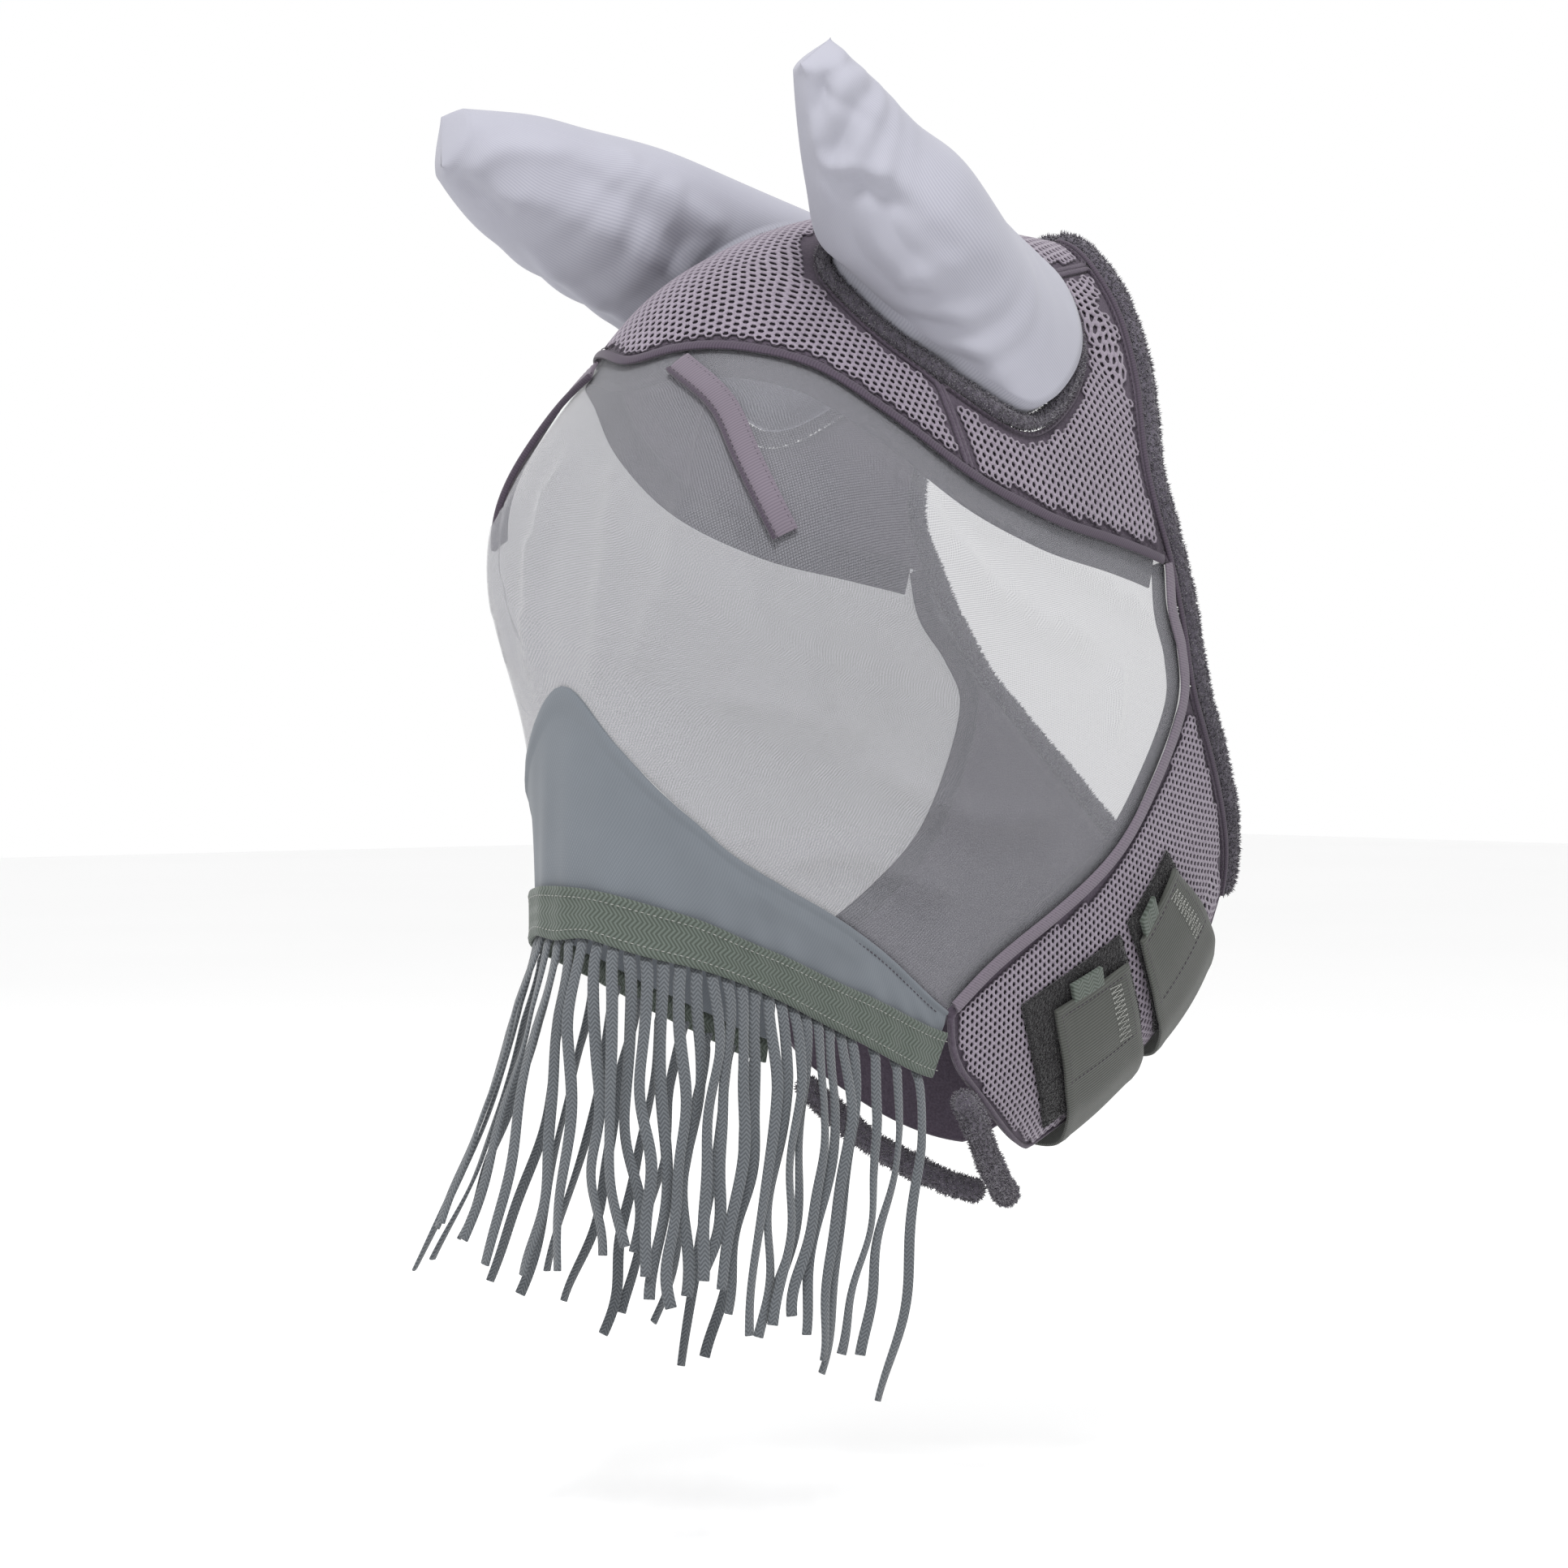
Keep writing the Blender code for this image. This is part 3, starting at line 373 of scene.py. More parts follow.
# %% Geometry Nodes: knit holes
knit_tree, given = new_tree("knit holes", (("Hole share", "NodeSocketFloat"),
                                           ("Yarn thickness", "NodeSocketFloat"),
                                           ("Material", "NodeSocketMaterial")))
hexagons = add(knit_tree, "GeometryNodeDualMesh", {"Mesh": given["Geometry"]})
rims = add(knit_tree, "GeometryNodeExtrudeMesh",
           {"Mesh": hexagons.outputs[0], "Offset Scale": 0.0, "Individual": True}, mode="FACES")
holes = add(knit_tree, "GeometryNodeScaleElements",
            {"Geometry": rims.outputs["Mesh"], "Selection": rims.outputs["Top"],
             "Scale": given["Hole share"]}, domain="FACE")
opened = add(knit_tree, "GeometryNodeDeleteGeometry",
             {"Geometry": holes.outputs[0], "Selection": rims.outputs["Top"]}, domain="FACE")
upper = add(knit_tree, "GeometryNodeExtrudeMesh",
            {"Mesh": opened.outputs[0], "Offset Scale": given["Yarn thickness"], "Individual": False},
            mode="FACES")
lower = add(knit_tree, "GeometryNodeFlipFaces", {"Mesh": opened.outputs[0]})
both = add(knit_tree, "GeometryNodeJoinGeometry", {"Geometry": upper.outputs["Mesh"]})
knit_tree.links.new(lower.outputs[0], both.inputs["Geometry"])
welded = add(knit_tree, "GeometryNodeMergeByDistance", {"Geometry": both.outputs[0], "Distance": 0.01 * MM})
plain = add(knit_tree, "GeometryNodeRealizeInstances", {"Geometry": welded.outputs[0]})
dressed = add(knit_tree, "GeometryNodeSetMaterial",
              {"Geometry": plain.outputs[0], "Material": given["Material"]})
add(knit_tree, "NodeGroupOutput", {"Geometry": dressed.outputs[0]})
print("knit tree:", len(knit_tree.nodes), "nodes")

# %% Geometry Nodes: fleece pile
pile_tree, given = new_tree("fleece pile", (("Density", "NodeSocketFloat"),
                                            ("Fibre length", "NodeSocketFloat"),
                                            ("Fibre radius", "NodeSocketFloat"), ("Seed", "NodeSocketInt"),
                                            ("Material", "NodeSocketMaterial")))
places = add(pile_tree, "GeometryNodeDistributePointsOnFaces",
             {"Mesh": given["Geometry"], "Density": given["Density"], "Seed": given["Seed"]})
fibre = add(pile_tree, "GeometryNodeMeshCone",
            {"Vertices": 3, "Radius Top": 0.0, "Radius Bottom": given["Fibre radius"],
             "Depth": given["Fibre length"]}, fill_type="NGON")
tilt = add(pile_tree, "FunctionNodeRandomValue", {"Min": (-0.8, -0.8, -3.1), "Max": (0.8, 0.8, 3.1)},
           data_type="FLOAT_VECTOR")
turned = add(pile_tree, "FunctionNodeRotateRotation",
             {"Rotation": places.outputs["Rotation"], "Rotate By": tilt.outputs[0]}, rotation_space="LOCAL")
size = add(pile_tree, "FunctionNodeRandomValue", {2: 0.6, 3: 1.25}, data_type="FLOAT")
grown = add(pile_tree, "GeometryNodeInstanceOnPoints",
            {"Points": places.outputs["Points"], "Instance": fibre.outputs["Mesh"],
             "Rotation": turned.outputs[0], "Scale": size.outputs[1]})
fibres = add(pile_tree, "GeometryNodeRealizeInstances", {"Geometry": grown.outputs[0]})
whole = add(pile_tree, "GeometryNodeJoinGeometry", {"Geometry": given["Geometry"]})
pile_tree.links.new(fibres.outputs[0], whole.inputs["Geometry"])
dressed = add(pile_tree, "GeometryNodeSetMaterial",
              {"Geometry": whole.outputs[0], "Material": given["Material"]})
add(pile_tree, "NodeGroupOutput", {"Geometry": dressed.outputs[0]})
print("pile tree:", len(pile_tree.nodes), "nodes")

# %% Geometry Nodes: stitches along a seam
stitch_tree, given = new_tree("stitches", (("Stitch pitch", "NodeSocketFloat"),
                                           ("Stitch size", "NodeSocketVector"),
                                           ("Material", "NodeSocketMaterial")))
seam = add(stitch_tree, "GeometryNodeMeshToCurve", {"Mesh": given["Geometry"]})
spaced = add(stitch_tree, "GeometryNodeResampleCurve",
             {"Curve": seam.outputs[0], "Length": given["Stitch pitch"]}, mode="LENGTH")
heading = add(stitch_tree, "GeometryNodeInputTangent")
aligned = add(stitch_tree, "FunctionNodeAlignRotationToVector", {"Vector": heading.outputs[0]}, axis="Z")
bead = add(stitch_tree, "GeometryNodeMeshIcoSphere", {"Radius": 1.0, "Subdivisions": 1})
placed = add(stitch_tree, "GeometryNodeInstanceOnPoints",
             {"Points": spaced.outputs[0], "Instance": bead.outputs["Mesh"], "Rotation": aligned.outputs[0],
              "Scale": given["Stitch size"]})
plain = add(stitch_tree, "GeometryNodeRealizeInstances", {"Geometry": placed.outputs[0]})
dressed = add(stitch_tree, "GeometryNodeSetMaterial",
              {"Geometry": plain.outputs[0], "Material": given["Material"]})
add(stitch_tree, "NodeGroupOutput", {"Geometry": dressed.outputs[0]})
print("stitch tree:", len(stitch_tree.nodes), "nodes")

# %% [markdown]
# ## Cloths and their finishes
# Every piece here is polyester or polypropylene textile: matt, rough, with a faint sheen where fibre
# ends catch the light. What tells them apart is the thread pattern. Each pattern is a height between
# 0 and 1 made from the piece's UV map in metres; it drives a bump, and its low places take the darker
# gap colour. That is painted shade in the hollows between threads; on the cloud patterns it is also
# an uneven tone of the cloth. Threads finer than about 1.5 mm would not show, so those are drawn a
# little coarser.

# %% Cloth material
def thread_wave(tree, coordinate, pitch):
    """0 to 1 and back once for every thread, along one coordinate in metres."""
    phase = add(tree, "ShaderNodeMath", {0: coordinate, 1: 2 * math.pi / pitch}, operation="MULTIPLY")
    wave = add(tree, "ShaderNodeMath", {0: phase.outputs[0]}, operation="SINE")
    level = add(tree, "ShaderNodeMath", {0: wave.outputs[0], 1: 0.5, 2: 0.5}, operation="MULTIPLY_ADD")
    return level.outputs[0]


def cloth(name, thread, gap, roughness, pattern, bump=0.35, depth=0.4 * MM, sheen=0.15, mottle=0.06):
    """A textile: thread colour, a darker gap colour painted as shade in the pattern's hollows, a pattern
    function, and a soft uneven tone.
    """
    made = bpy.data.materials.new(name)
    made.use_nodes = True
    tree = made.node_tree
    shader = tree.nodes["Principled BSDF"]
    places = add(tree, "ShaderNodeTexCoord")
    parts = add(tree, "ShaderNodeSeparateXYZ", {0: places.outputs["UV"]})
    height = pattern(tree, parts.outputs[0], parts.outputs[1], places.outputs["Object"])
    # Painted shade: the darker gap colour fills the pattern's low places, the gaps between threads.
    colour = add(tree, "ShaderNodeMix", {0: height, 6: linear(gap), 7: linear(thread)}, data_type="RGBA")
    cloud = add(tree, "ShaderNodeTexNoise",
                {"Vector": places.outputs["Object"], "Scale": 28.0, "Detail": 4.0})
    tone = add(tree, "ShaderNodeMapRange",
               {0: cloud.outputs[0], 1: 0.25, 2: 0.75, 3: 1 - mottle, 4: 1 + mottle})
    shade = add(tree, "ShaderNodeHueSaturation", {"Value": tone.outputs[0], "Color": colour.outputs[2]})
    fuzz = add(tree, "ShaderNodeTexNoise",
               {"Vector": places.outputs["Object"], "Scale": 1400.0, "Detail": 2.0})
    rise = add(tree, "ShaderNodeMath", {0: fuzz.outputs[0], 1: 0.35, 2: height}, operation="MULTIPLY_ADD")
    relief = add(tree, "ShaderNodeBump", {"Height": rise.outputs[0], "Strength": bump, "Distance": depth})
    tree.links.new(shade.outputs[0], shader.inputs["Base Color"])
    tree.links.new(relief.outputs[0], shader.inputs["Normal"])
    shader.inputs["Roughness"].default_value = roughness
    shader.inputs["IOR"].default_value = 1.5
    shader.inputs["Specular IOR Level"].default_value = 0.25
    shader.inputs["Sheen Weight"].default_value = sheen
    shader.inputs["Sheen Roughness"].default_value = 0.5
    return made


def plain_weave(pitch):
    def pattern(tree, u, v, place):
        over, under = thread_wave(tree, u, pitch), thread_wave(tree, v, pitch)
        cross = add(tree, "ShaderNodeMath", {0: over, 1: under}, operation="SUBTRACT")
        return add(tree, "ShaderNodeMath", {0: cross.outputs[0]}, operation="ABSOLUTE").outputs[0]
    return pattern


def ribbed(pitch, across_rows=False):
    def pattern(tree, u, v, place):
        return thread_wave(tree, v if across_rows else u, pitch)
    return pattern


def herringbone(pitch, width, slant):
    def pattern(tree, u, v, place):
        fold = add(tree, "ShaderNodeMath", {0: v, 1: width}, operation="PINGPONG")
        lean = add(tree, "ShaderNodeMath", {0: fold.outputs[0], 1: slant, 2: u}, operation="MULTIPLY_ADD")
        return thread_wave(tree, lean.outputs[0], pitch)
    return pattern


def noisy(scale):
    def pattern(tree, u, v, place):
        cloud = add(tree, "ShaderNodeTexNoise", {"Vector": place, "Scale": scale, "Detail": 5.0})
        return add(tree, "ShaderNodeMapRange", {0: cloud.outputs[0], 1: 0.3, 2: 0.7}).outputs[0]
    return pattern


# Polyester stretch jersey of the ear covers: very fine knit, smooth, lavender grey.
JERSEY = cloth("polyester jersey, knitted", "#9d9da7", "#92929c", 0.85, ribbed(1.6 * MM), 0.10,
               0.15 * MM, 0.10, 0.03)
# Polyester spacer mesh: mauve grey yarn on the face, a darker layer behind the holes.
SPACER_YARN = cloth("polyester spacer mesh, face yarn", "#877e8a", "#6c636f", 0.60, noisy(700.0), 0.3,
                    0.3 * MM, 0.2)
SPACER_BACK = cloth("polyester spacer mesh, back layer", "#504753", "#3c343f", 0.90, noisy(900.0), 0.3,
                    0.3 * MM)
# Polyester polar fleece: brushed pile that scatters light, so no gloss and some sheen.
FLEECE = cloth("polyester fleece, brushed", "#5c5761", "#3f3b44", 0.95, noisy(420.0), 0.5,
               0.8 * MM, 0.35, 0.08)
# Polyester cloth of the nose panel: close plain weave with a flat, slate look.
NOSE_CLOTH = cloth("polyester cloth, plain weave", "#686d73", "#5d6268", 0.78, plain_weave(1.5 * MM),
                   0.12, 0.15 * MM)
# Polyester tape that covers the seams and darts.
TAPE = cloth("polyester binding tape, woven", "#6c646e", "#5d555f", 0.85, ribbed(1.5 * MM), 0.2, 0.2 * MM)
SEAM_TAPE = cloth("polyester seam tape, dark", "#483f4b", "#39313c", 0.85, ribbed(1.5 * MM), 0.2, 0.2 * MM)
# Polyester facing behind the brow and cheek seams: brushed, soft and dark.
FACING = cloth("polyester facing, brushed", "#2a242d", "#1e1921", 0.92, noisy(800.0), 0.2, 0.3 * MM)
# Polypropylene webbing: herringbone weave, ridges 2.4 mm apart, slightly waxy.
WEBBING = cloth("polypropylene webbing, herringbone", "#58605a", "#394039", 0.70,
                herringbone(2.4 * MM, 3.6 * MM, 0.9), 0.5, 0.5 * MM)
# Polypropylene strap: fine ribs, 1.8 mm apart.
STRAP_WEB = cloth("polypropylene strap, fine rib", "#474945", "#343632", 0.75, ribbed(1.8 * MM), 0.45,
                  0.4 * MM)
# Knitted polyester cord: rows of V-shaped loops, drawn 2.2 mm apart so that they show.
CORD_KNIT = cloth("polyester cord, flat knit", "#606468", "#43464a", 0.85,
                  herringbone(2.2 * MM, 2.3 * MM, 1.2), 0.55, 0.5 * MM, 0.2)
# Nylon loop tape: black pile.
LOOP_PILE = cloth("nylon loop tape, pile", "#1e1c1f", "#0d0c0e", 0.95, noisy(650.0), 0.7, 0.8 * MM, 0.25)
# Polyester sewing thread, two colours.
THREAD_DARK = cloth("polyester thread, dark mauve", "#3c343e", "#302932", 0.6, noisy(900.0), 0.2)
THREAD_PALE = cloth("polyester thread, pale grey", "#989995", "#7d7e7a", 0.6, noisy(900.0), 0.2)


NET_PITCH = 1.7 * MM
NET_THINNEST, NET_DENSEST = 0.22, 0.46         # opacity over a hole and over a thread


def net_material():
    """Fine polyester net: threads that catch light, and holes that the eye looks through."""
    made = cloth("polyester net, see-through", "#8f8f95", "#838389", 0.55, plain_weave(NET_PITCH), 0.1,
                 0.1 * MM, 0.3, 0.02)
    tree = made.node_tree
    shader = tree.nodes["Principled BSDF"]
    places = add(tree, "ShaderNodeTexCoord")
    parts = add(tree, "ShaderNodeSeparateXYZ", {0: places.outputs["UV"]})
    weave = plain_weave(NET_PITCH)(tree, parts.outputs[0], parts.outputs[1], None)
    cover = add(tree, "ShaderNodeMapRange", {0: weave, 1: 0.0, 2: 1.0, 3: NET_THINNEST, 4: NET_DENSEST})
    tree.links.new(cover.outputs[0], shader.inputs["Alpha"])
    return made


NET = net_material()
print("materials:", len(bpy.data.materials))

# %% [markdown]
# ## Fringe cords
# A cord is a fixed length of something limp. Each one leaves from under the noseband's lower edge and
# hangs, leaning a little forwards because the muzzle it lies on holds it off. We work out the
# route first, then sweep a flat knitted section along it with a slow twist, and cut the end square.
# There are more cords at the front and near side, where the fringe is thickest.

# %% Cord routes
CORD_COUNT = 28
CORD_WIDTH, CORD_THICKNESS = 5.7 * MM, 1.9 * MM
CORD_DROP = 153.0 * MM
CORD_RINGS = 40
# Lean of the cords' ends in x and y, in mm, at places from the right end (-1) to the left one (1).
CORD_LEAN_PLACES = (-1.0, -0.45, -0.2, -0.02, 0.12, 0.4, 1.0)
CORD_LEANS = ((6, -30), (-14, -32), (-50, -30), (-28, -21), (14, -2), (2, -18), (-8, -22))
CLOTH_HEIGHT, LAYER_GAP = 1.4 * MM, 1.2 * MM
FRINGE_MARGIN = 0.02                           # share of the noseband left bare at each end
EXIT_BELOW_EDGE, ROOT_RISE, ROOT_TUCK = 3.3 * MM, 5.0 * MM, 2.4 * MM
# Sideways waves of a cord, and how far it and its layer stand off the nose, in mm.
SLOW_WAVE, QUICK_WAVE = 4.2, 1.8
CORD_STANDOFF, ODD_LAYER, FRONT_LAYER = 3.0, 2.6, 5.6

edge = on_head(smooth_line(across(NOSEBAND_BOTTOM), 200) * MM)
edge_length = np.concatenate(((0,), np.cumsum(np.linalg.norm(np.diff(edge, axis=0), axis=1))))
edge_heading = np.gradient(edge, axis=0)


def cord_route(index, extra):
    """Ring centres of one cord; an extra cord hangs in front of its two neighbours."""
    stop = (FRINGE_MARGIN + (1 - 2 * FRINGE_MARGIN) * index / (CORD_COUNT - 1)) * edge_length[-1]
    place = np.array([np.interp(stop, edge_length, edge[:, k]) for k in range(3)])
    along = np.array([np.interp(stop, edge_length, edge_heading[:, k]) for k in range(3)])
    along[2] = 0
    along = unit(along)
    outward = np.array((along[1], -along[0], 0.0))
    top = place + head_normal(place[None])[0] * (CLOTH_HEIGHT + LAYER_GAP)
    top[2] -= EXIT_BELOW_EDGE
    side = 2 * index / (CORD_COUNT - 1) - 1
    share = np.linspace(0, 1, CORD_RINGS)
    lean = np.interp(side, CORD_LEAN_PLACES, [x for x, _ in CORD_LEANS])
    forward = np.interp(side, CORD_LEAN_PLACES, [y for _, y in CORD_LEANS])
    wave = SLOW_WAVE * np.sin(2 * math.pi * share * 1.3 + 2.4 * index) * np.sqrt(share) * (1 - 0.4 * share)
    ripples = 2.2 + 0.5 * math.sin(5.1 * index)
    wave += QUICK_WAVE * np.sin(2 * math.pi * share * ripples + 3.7 * index) * share
    layer = (FRONT_LAYER if extra else ODD_LAYER * (int(index) % 2)) * np.minimum(share * 4, 1)
    route = np.tile(top, (CORD_RINGS, 1))
    route += along * (wave * MM)[:, None]
    route += outward * ((CORD_STANDOFF * np.minimum(share * 5, 1) + layer) * MM)[:, None]
    route[:, 0] += lean * MM * share ** 1.5
    route[:, 1] += forward * MM * share ** 1.5
    route[:, 2] -= CORD_DROP * (0.95 + 0.07 * math.sin(1.9 * index)) * share
    root = top + np.array((0, 0, ROOT_RISE)) - outward * ROOT_TUCK
    return np.vstack((root, route)), top, outward


# %% Cord meshes
def flat_cord(name, route, outward, twist_start):
    """A flat knitted cord swept along its route, with its broad face outwards."""
    heading = unit(np.gradient(route, axis=0))
    sides = 12
    turn = np.linspace(0, 2 * math.pi, sides, endpoint=False)
    across_cord = np.sign(np.cos(turn)) * np.abs(np.cos(turn)) ** 0.8 * CORD_WIDTH / 2
    through_cord = np.sign(np.sin(turn)) * np.abs(np.sin(turn)) ** 0.6 * CORD_THICKNESS / 2
    vertices, uv, faces = [], [], []
    run = np.concatenate(((0,), np.cumsum(np.linalg.norm(np.diff(route, axis=0), axis=1))))
    for k, (place, ahead) in enumerate(zip(route, heading)):
        level = outward - ahead * (outward @ ahead)
        level /= np.linalg.norm(level)
        twist = 0.40 * math.sin(5.0 * run[k] / CORD_DROP + twist_start) * min(1.0, run[k] / (40 * MM))
        sideways = np.cross(ahead, level)
        wide = sideways * math.cos(twist) + level * math.sin(twist)
        thick = level * math.cos(twist) - sideways * math.sin(twist)
        for a, b in zip(across_cord, through_cord):
            vertices.append(place + wide * a + thick * b)
            uv.append((run[k], a + CORD_WIDTH / 2))
    for k in range(len(route) - 1):
        for j in range(sides):
            a, b = k * sides + j, k * sides + (j + 1) % sides
            faces.append((a, b, b + sides, a + sides))
    faces.append(tuple(range(sides))[::-1])
    faces.append(tuple(range(len(vertices) - sides, len(vertices))))
    made = make_object(name, vertices, faces, CORD_KNIT, uv)
    soft = made.modifiers.new("cut edge", "BEVEL")
    soft.width = 0.3 * MM
    soft.limit_method = "ANGLE"
    soft.angle_limit = math.radians(60)
    return made, float(run[-1])


cord_plan = [(float(i), False) for i in range(CORD_COUNT)]
cord_plan += [(i + 0.5, True) for i in range(12, 24)]
cord_lengths = []
for index, extra in cord_plan:
    route, exit_place, outward = cord_route(index, extra)
    number = int(index) + 1
    label = f"fringe cord {number:02d}" + (" front" if extra else "")
    made, length = flat_cord(label, route, outward, 1.7 * index)
    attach(made, f"cord_{number:02d}")
    if not extra:
        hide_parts(f"fringe_cord_{number:02d}")
    cord_lengths.append(length)
print("cords:", len(cord_plan), "of", round(min(cord_lengths), 3), "to", round(max(cord_lengths), 3), "m")

# %% [markdown]
# ## See-through face mesh
# One fine net, cut large and stretched from the brow to the nose panel. Because it is thin it shows
# its strain: soft folds run from the dart tapes, from the brow and across the cheek. We lay a fine
# grid on the head and raise it a few millimetres along each fold, then close it into a thin sheet.

# %% Face mesh
def seat(made, body, slot, *nodes):
    """A finished piece rides on its body and stands for its CAD nodes; slot is not used."""
    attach(made, body)
    if nodes:
        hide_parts(*nodes)


FACE_FOLDS = (
    (((76, -90, -228), (91, -63, -232), (96, -17, -245)), 7, 4.6),
    (((71, -46, -310), (78, -12, -301), (76, 57, -326)), 6, 5.6),
    (((70, -100, -130), (70, -109, -168), (45, -114, -216)), 7, 5.0),
    (((110, -67, -156), (110, -59, -190), (96, -43, -235)), 7, 5.8),
    (((105, -26, -113), (115, 38, -166), (100, 132, -204)), 7, 5.4),
    (((113, -2, -128), (106, 115, -164), (92, 185, -191)), 6, 4.4),
    (((-22, -101, -111), (-30, -117, -165), (-23, -119, -224)), 7, 5.4),
    (((96, 152, -207), (92, 156, -225), (88, 158, -244)), 5, 3.4),
    (((92, -14, -255), (86, 53, -283), (82, 122, -288)), 8, 5.0),
    (((79, -93, -130), (103, -83, -168), (99, -70, -205)), 5, -3.4),
)
NET_THICKNESS = 0.5 * MM
top = smooth_line(across(BROW_LINE), 161)
bottom = smooth_line(across(NOSE_LINE), 161)
upper = smooth_line((BROW_LINE[-1], REAR_LINE[7], CHEEK_FRONT_LINE[0]), 16)
left = np.vstack((upper, smooth_line(CHEEK_FRONT_LINE, 50)[1:]))[::-1]
base = on_head(fill_patch(bottom, top, on_side(left, -1), left) * MM)
slack = np.zeros(base.shape[:2])
for path, width, height in FACE_FOLDS:
    slack += ridge(base, path, width, height)
    slack += 0.8 * ridge(base, on_side(path, -1), width * 1.2, height)
rim_fade = np.minimum(np.arange(base.shape[0]), np.arange(base.shape[0])[::-1])[:, None] / 5
slack *= np.clip(np.minimum(rim_fade, 1), 0, 1)
face_net = shell("face mesh", lift(base, slack), lift(base, slack + NET_THICKNESS), NET, 0)
seat(face_net, "mask", "face_net", "face_mesh")
along, up = grid_metres(base)

# %% [markdown]
# ## Facing, nose panel and noseband
# A soft facing backs the net just below the brow seam and shows through it. The nose panel is a close
# cloth that rises to a point and has a turned hem along its top. The noseband is woven elastic
# webbing sewn over the panel's lower edge; it puckers slightly where the stitches gather it.

# %% Facing and nose panel
def rim_wave(grid, step, height):
    """Gentle gathers across a grid: one wave for every step, in metres."""
    along, up = grid_metres(grid)
    return height * np.sin(2 * math.pi * along / step + 1.3 * np.sin(along / (0.7 * step)))


seam = on_head(smooth_line(across(BROW_LINE), 91) * MM)
heading = unit(np.gradient(seam, axis=0))
downwards = unit(np.cross(heading, head_normal(seam)))
facing_grid = on_head(seam[None] + downwards[None] * np.linspace(-2 * MM, 15 * MM, 7)[:, None, None])[:, 1:-1]
facing = shell("brow facing", lift(facing_grid, -2.6 * MM), lift(facing_grid, -1.2 * MM), FACING)
seat(facing, "mask", "binding", "brow_facing")

top = smooth_line(across(NOSE_LINE), 121)
middle = (np.array(NOSEBAND_TOP, float) + np.array(NOSEBAND_BOTTOM, float)) / 2
bottom = smooth_line(across(middle), 121)
left = smooth_line((bottom[-1], top[-1]), 30)
nose_grid = on_head(fill_patch(bottom, top, on_side(left, -1), left) * MM)
fade = np.linspace(1, 0, nose_grid.shape[0])[:, None]
puckers = rim_wave(nose_grid, 26 * MM, 0.7 * MM) * fade
for path, width, height in ((((68, -40, -330), (60, -88, -300), (40, -108, -262)), 9, 1.6),
                            (((71, 2, -350), (69, -22, -338), (64, -60, -318)), 6, 1.8)):
    puckers += ridge(nose_grid, path, width, height) + ridge(nose_grid, on_side(path, -1), width, height)
hem = np.zeros(nose_grid.shape[:2])
hem[-3:] = 0.9 * MM
nose_panel = shell("nose panel", lift(nose_grid, puckers), lift(nose_grid, puckers + CLOTH_HEIGHT + hem),
                   NOSE_CLOTH)
seat(nose_panel, "mask", "nose_cloth", "nose_panel")

# %% Noseband
top = smooth_line(across(NOSEBAND_TOP), 161)
bottom = smooth_line(across(NOSEBAND_BOTTOM), 161)
left = smooth_line((bottom[-1], top[-1]), 12)
band_grid = on_head(fill_patch(bottom, top, on_side(left, -1), left) * MM)
pucker = rim_wave(band_grid, 21 * MM, 0.45 * MM) + 0.5 * MM
selvage = np.zeros(band_grid.shape[:2])
selvage[[1, -2]] = 0.35 * MM
selvage[[0, -1]] = -0.2 * MM
low = CLOTH_HEIGHT + 0.9 * MM
noseband = shell("noseband", lift(band_grid, low + pucker),
                 lift(band_grid, low + 1.7 * MM + pucker + selvage), WEBBING)
seat(noseband, "mask", "webbing", "noseband")
print("nose panel and noseband laid")

# %% [markdown]
# ## Spacer mesh panels
# Spacer mesh is two knitted faces held apart by fine yarns. We make what the eye sees: a dark back
# layer, an open hexagonal face above it, and a closed selvage round each panel where it is turned
# into the seam. The holes keep an even pitch because their lattice is laid on the panel's flat pattern,
# as on a cutting table, and is then taken back to the head.

# %% Spacer mesh helpers
HOLE_PITCH = 4.3 * MM
FLATTEN_STEPS = 500
SPRINGS = (((slice(None, -1), slice(None)), (slice(1, None), slice(None))),
           ((slice(None), slice(None, -1)), (slice(None), slice(1, None))),
           ((slice(None, -1), slice(None, -1)), (slice(1, None), slice(1, None))),
           ((slice(None, -1), slice(1, None)), (slice(1, None), slice(None, -1))))


def flat_pattern(grid):
    """The panel as it lies on the cutting table: 2-D places that keep its edge lengths."""
    middle = unit(grid.mean(axis=(0, 1)) - HEART)
    chord = grid[0, -1] - grid[0, 0]
    first = unit(chord - middle * (chord @ middle))
    rays = unit(grid - HEART)
    angle = np.arccos(np.clip(rays @ middle, -1, 1))
    turn = np.arctan2(rays @ np.cross(middle, first), rays @ first)
    reach = np.linalg.norm(grid - HEART, axis=-1).mean()
    flat = reach * angle[..., None] * np.stack((np.cos(turn), np.sin(turn)), axis=-1)
    lengths = [np.linalg.norm(grid[b] - grid[a], axis=-1) for a, b in SPRINGS]
    for _ in range(FLATTEN_STEPS):
        for (a, b), length in zip(SPRINGS, lengths):
            step = flat[b] - flat[a]
            push = 0.22 * step * (1 - length / np.maximum(np.linalg.norm(step, axis=-1), 1e-6))[..., None]
            flat[a] += push
            flat[b] -= push
    return flat


def rim_distance(points, outline):
    """Distance from each flat point to the nearest stretch of a closed outline."""
    ahead = np.roll(outline, -1, axis=0) - outline
    offset = points[:, None] - outline
    share = np.clip((offset * ahead).sum(-1) / np.maximum((ahead ** 2).sum(-1), 1e-12), 0, 1)
    return np.linalg.norm(offset - ahead * share[..., None], axis=-1).min(axis=1)


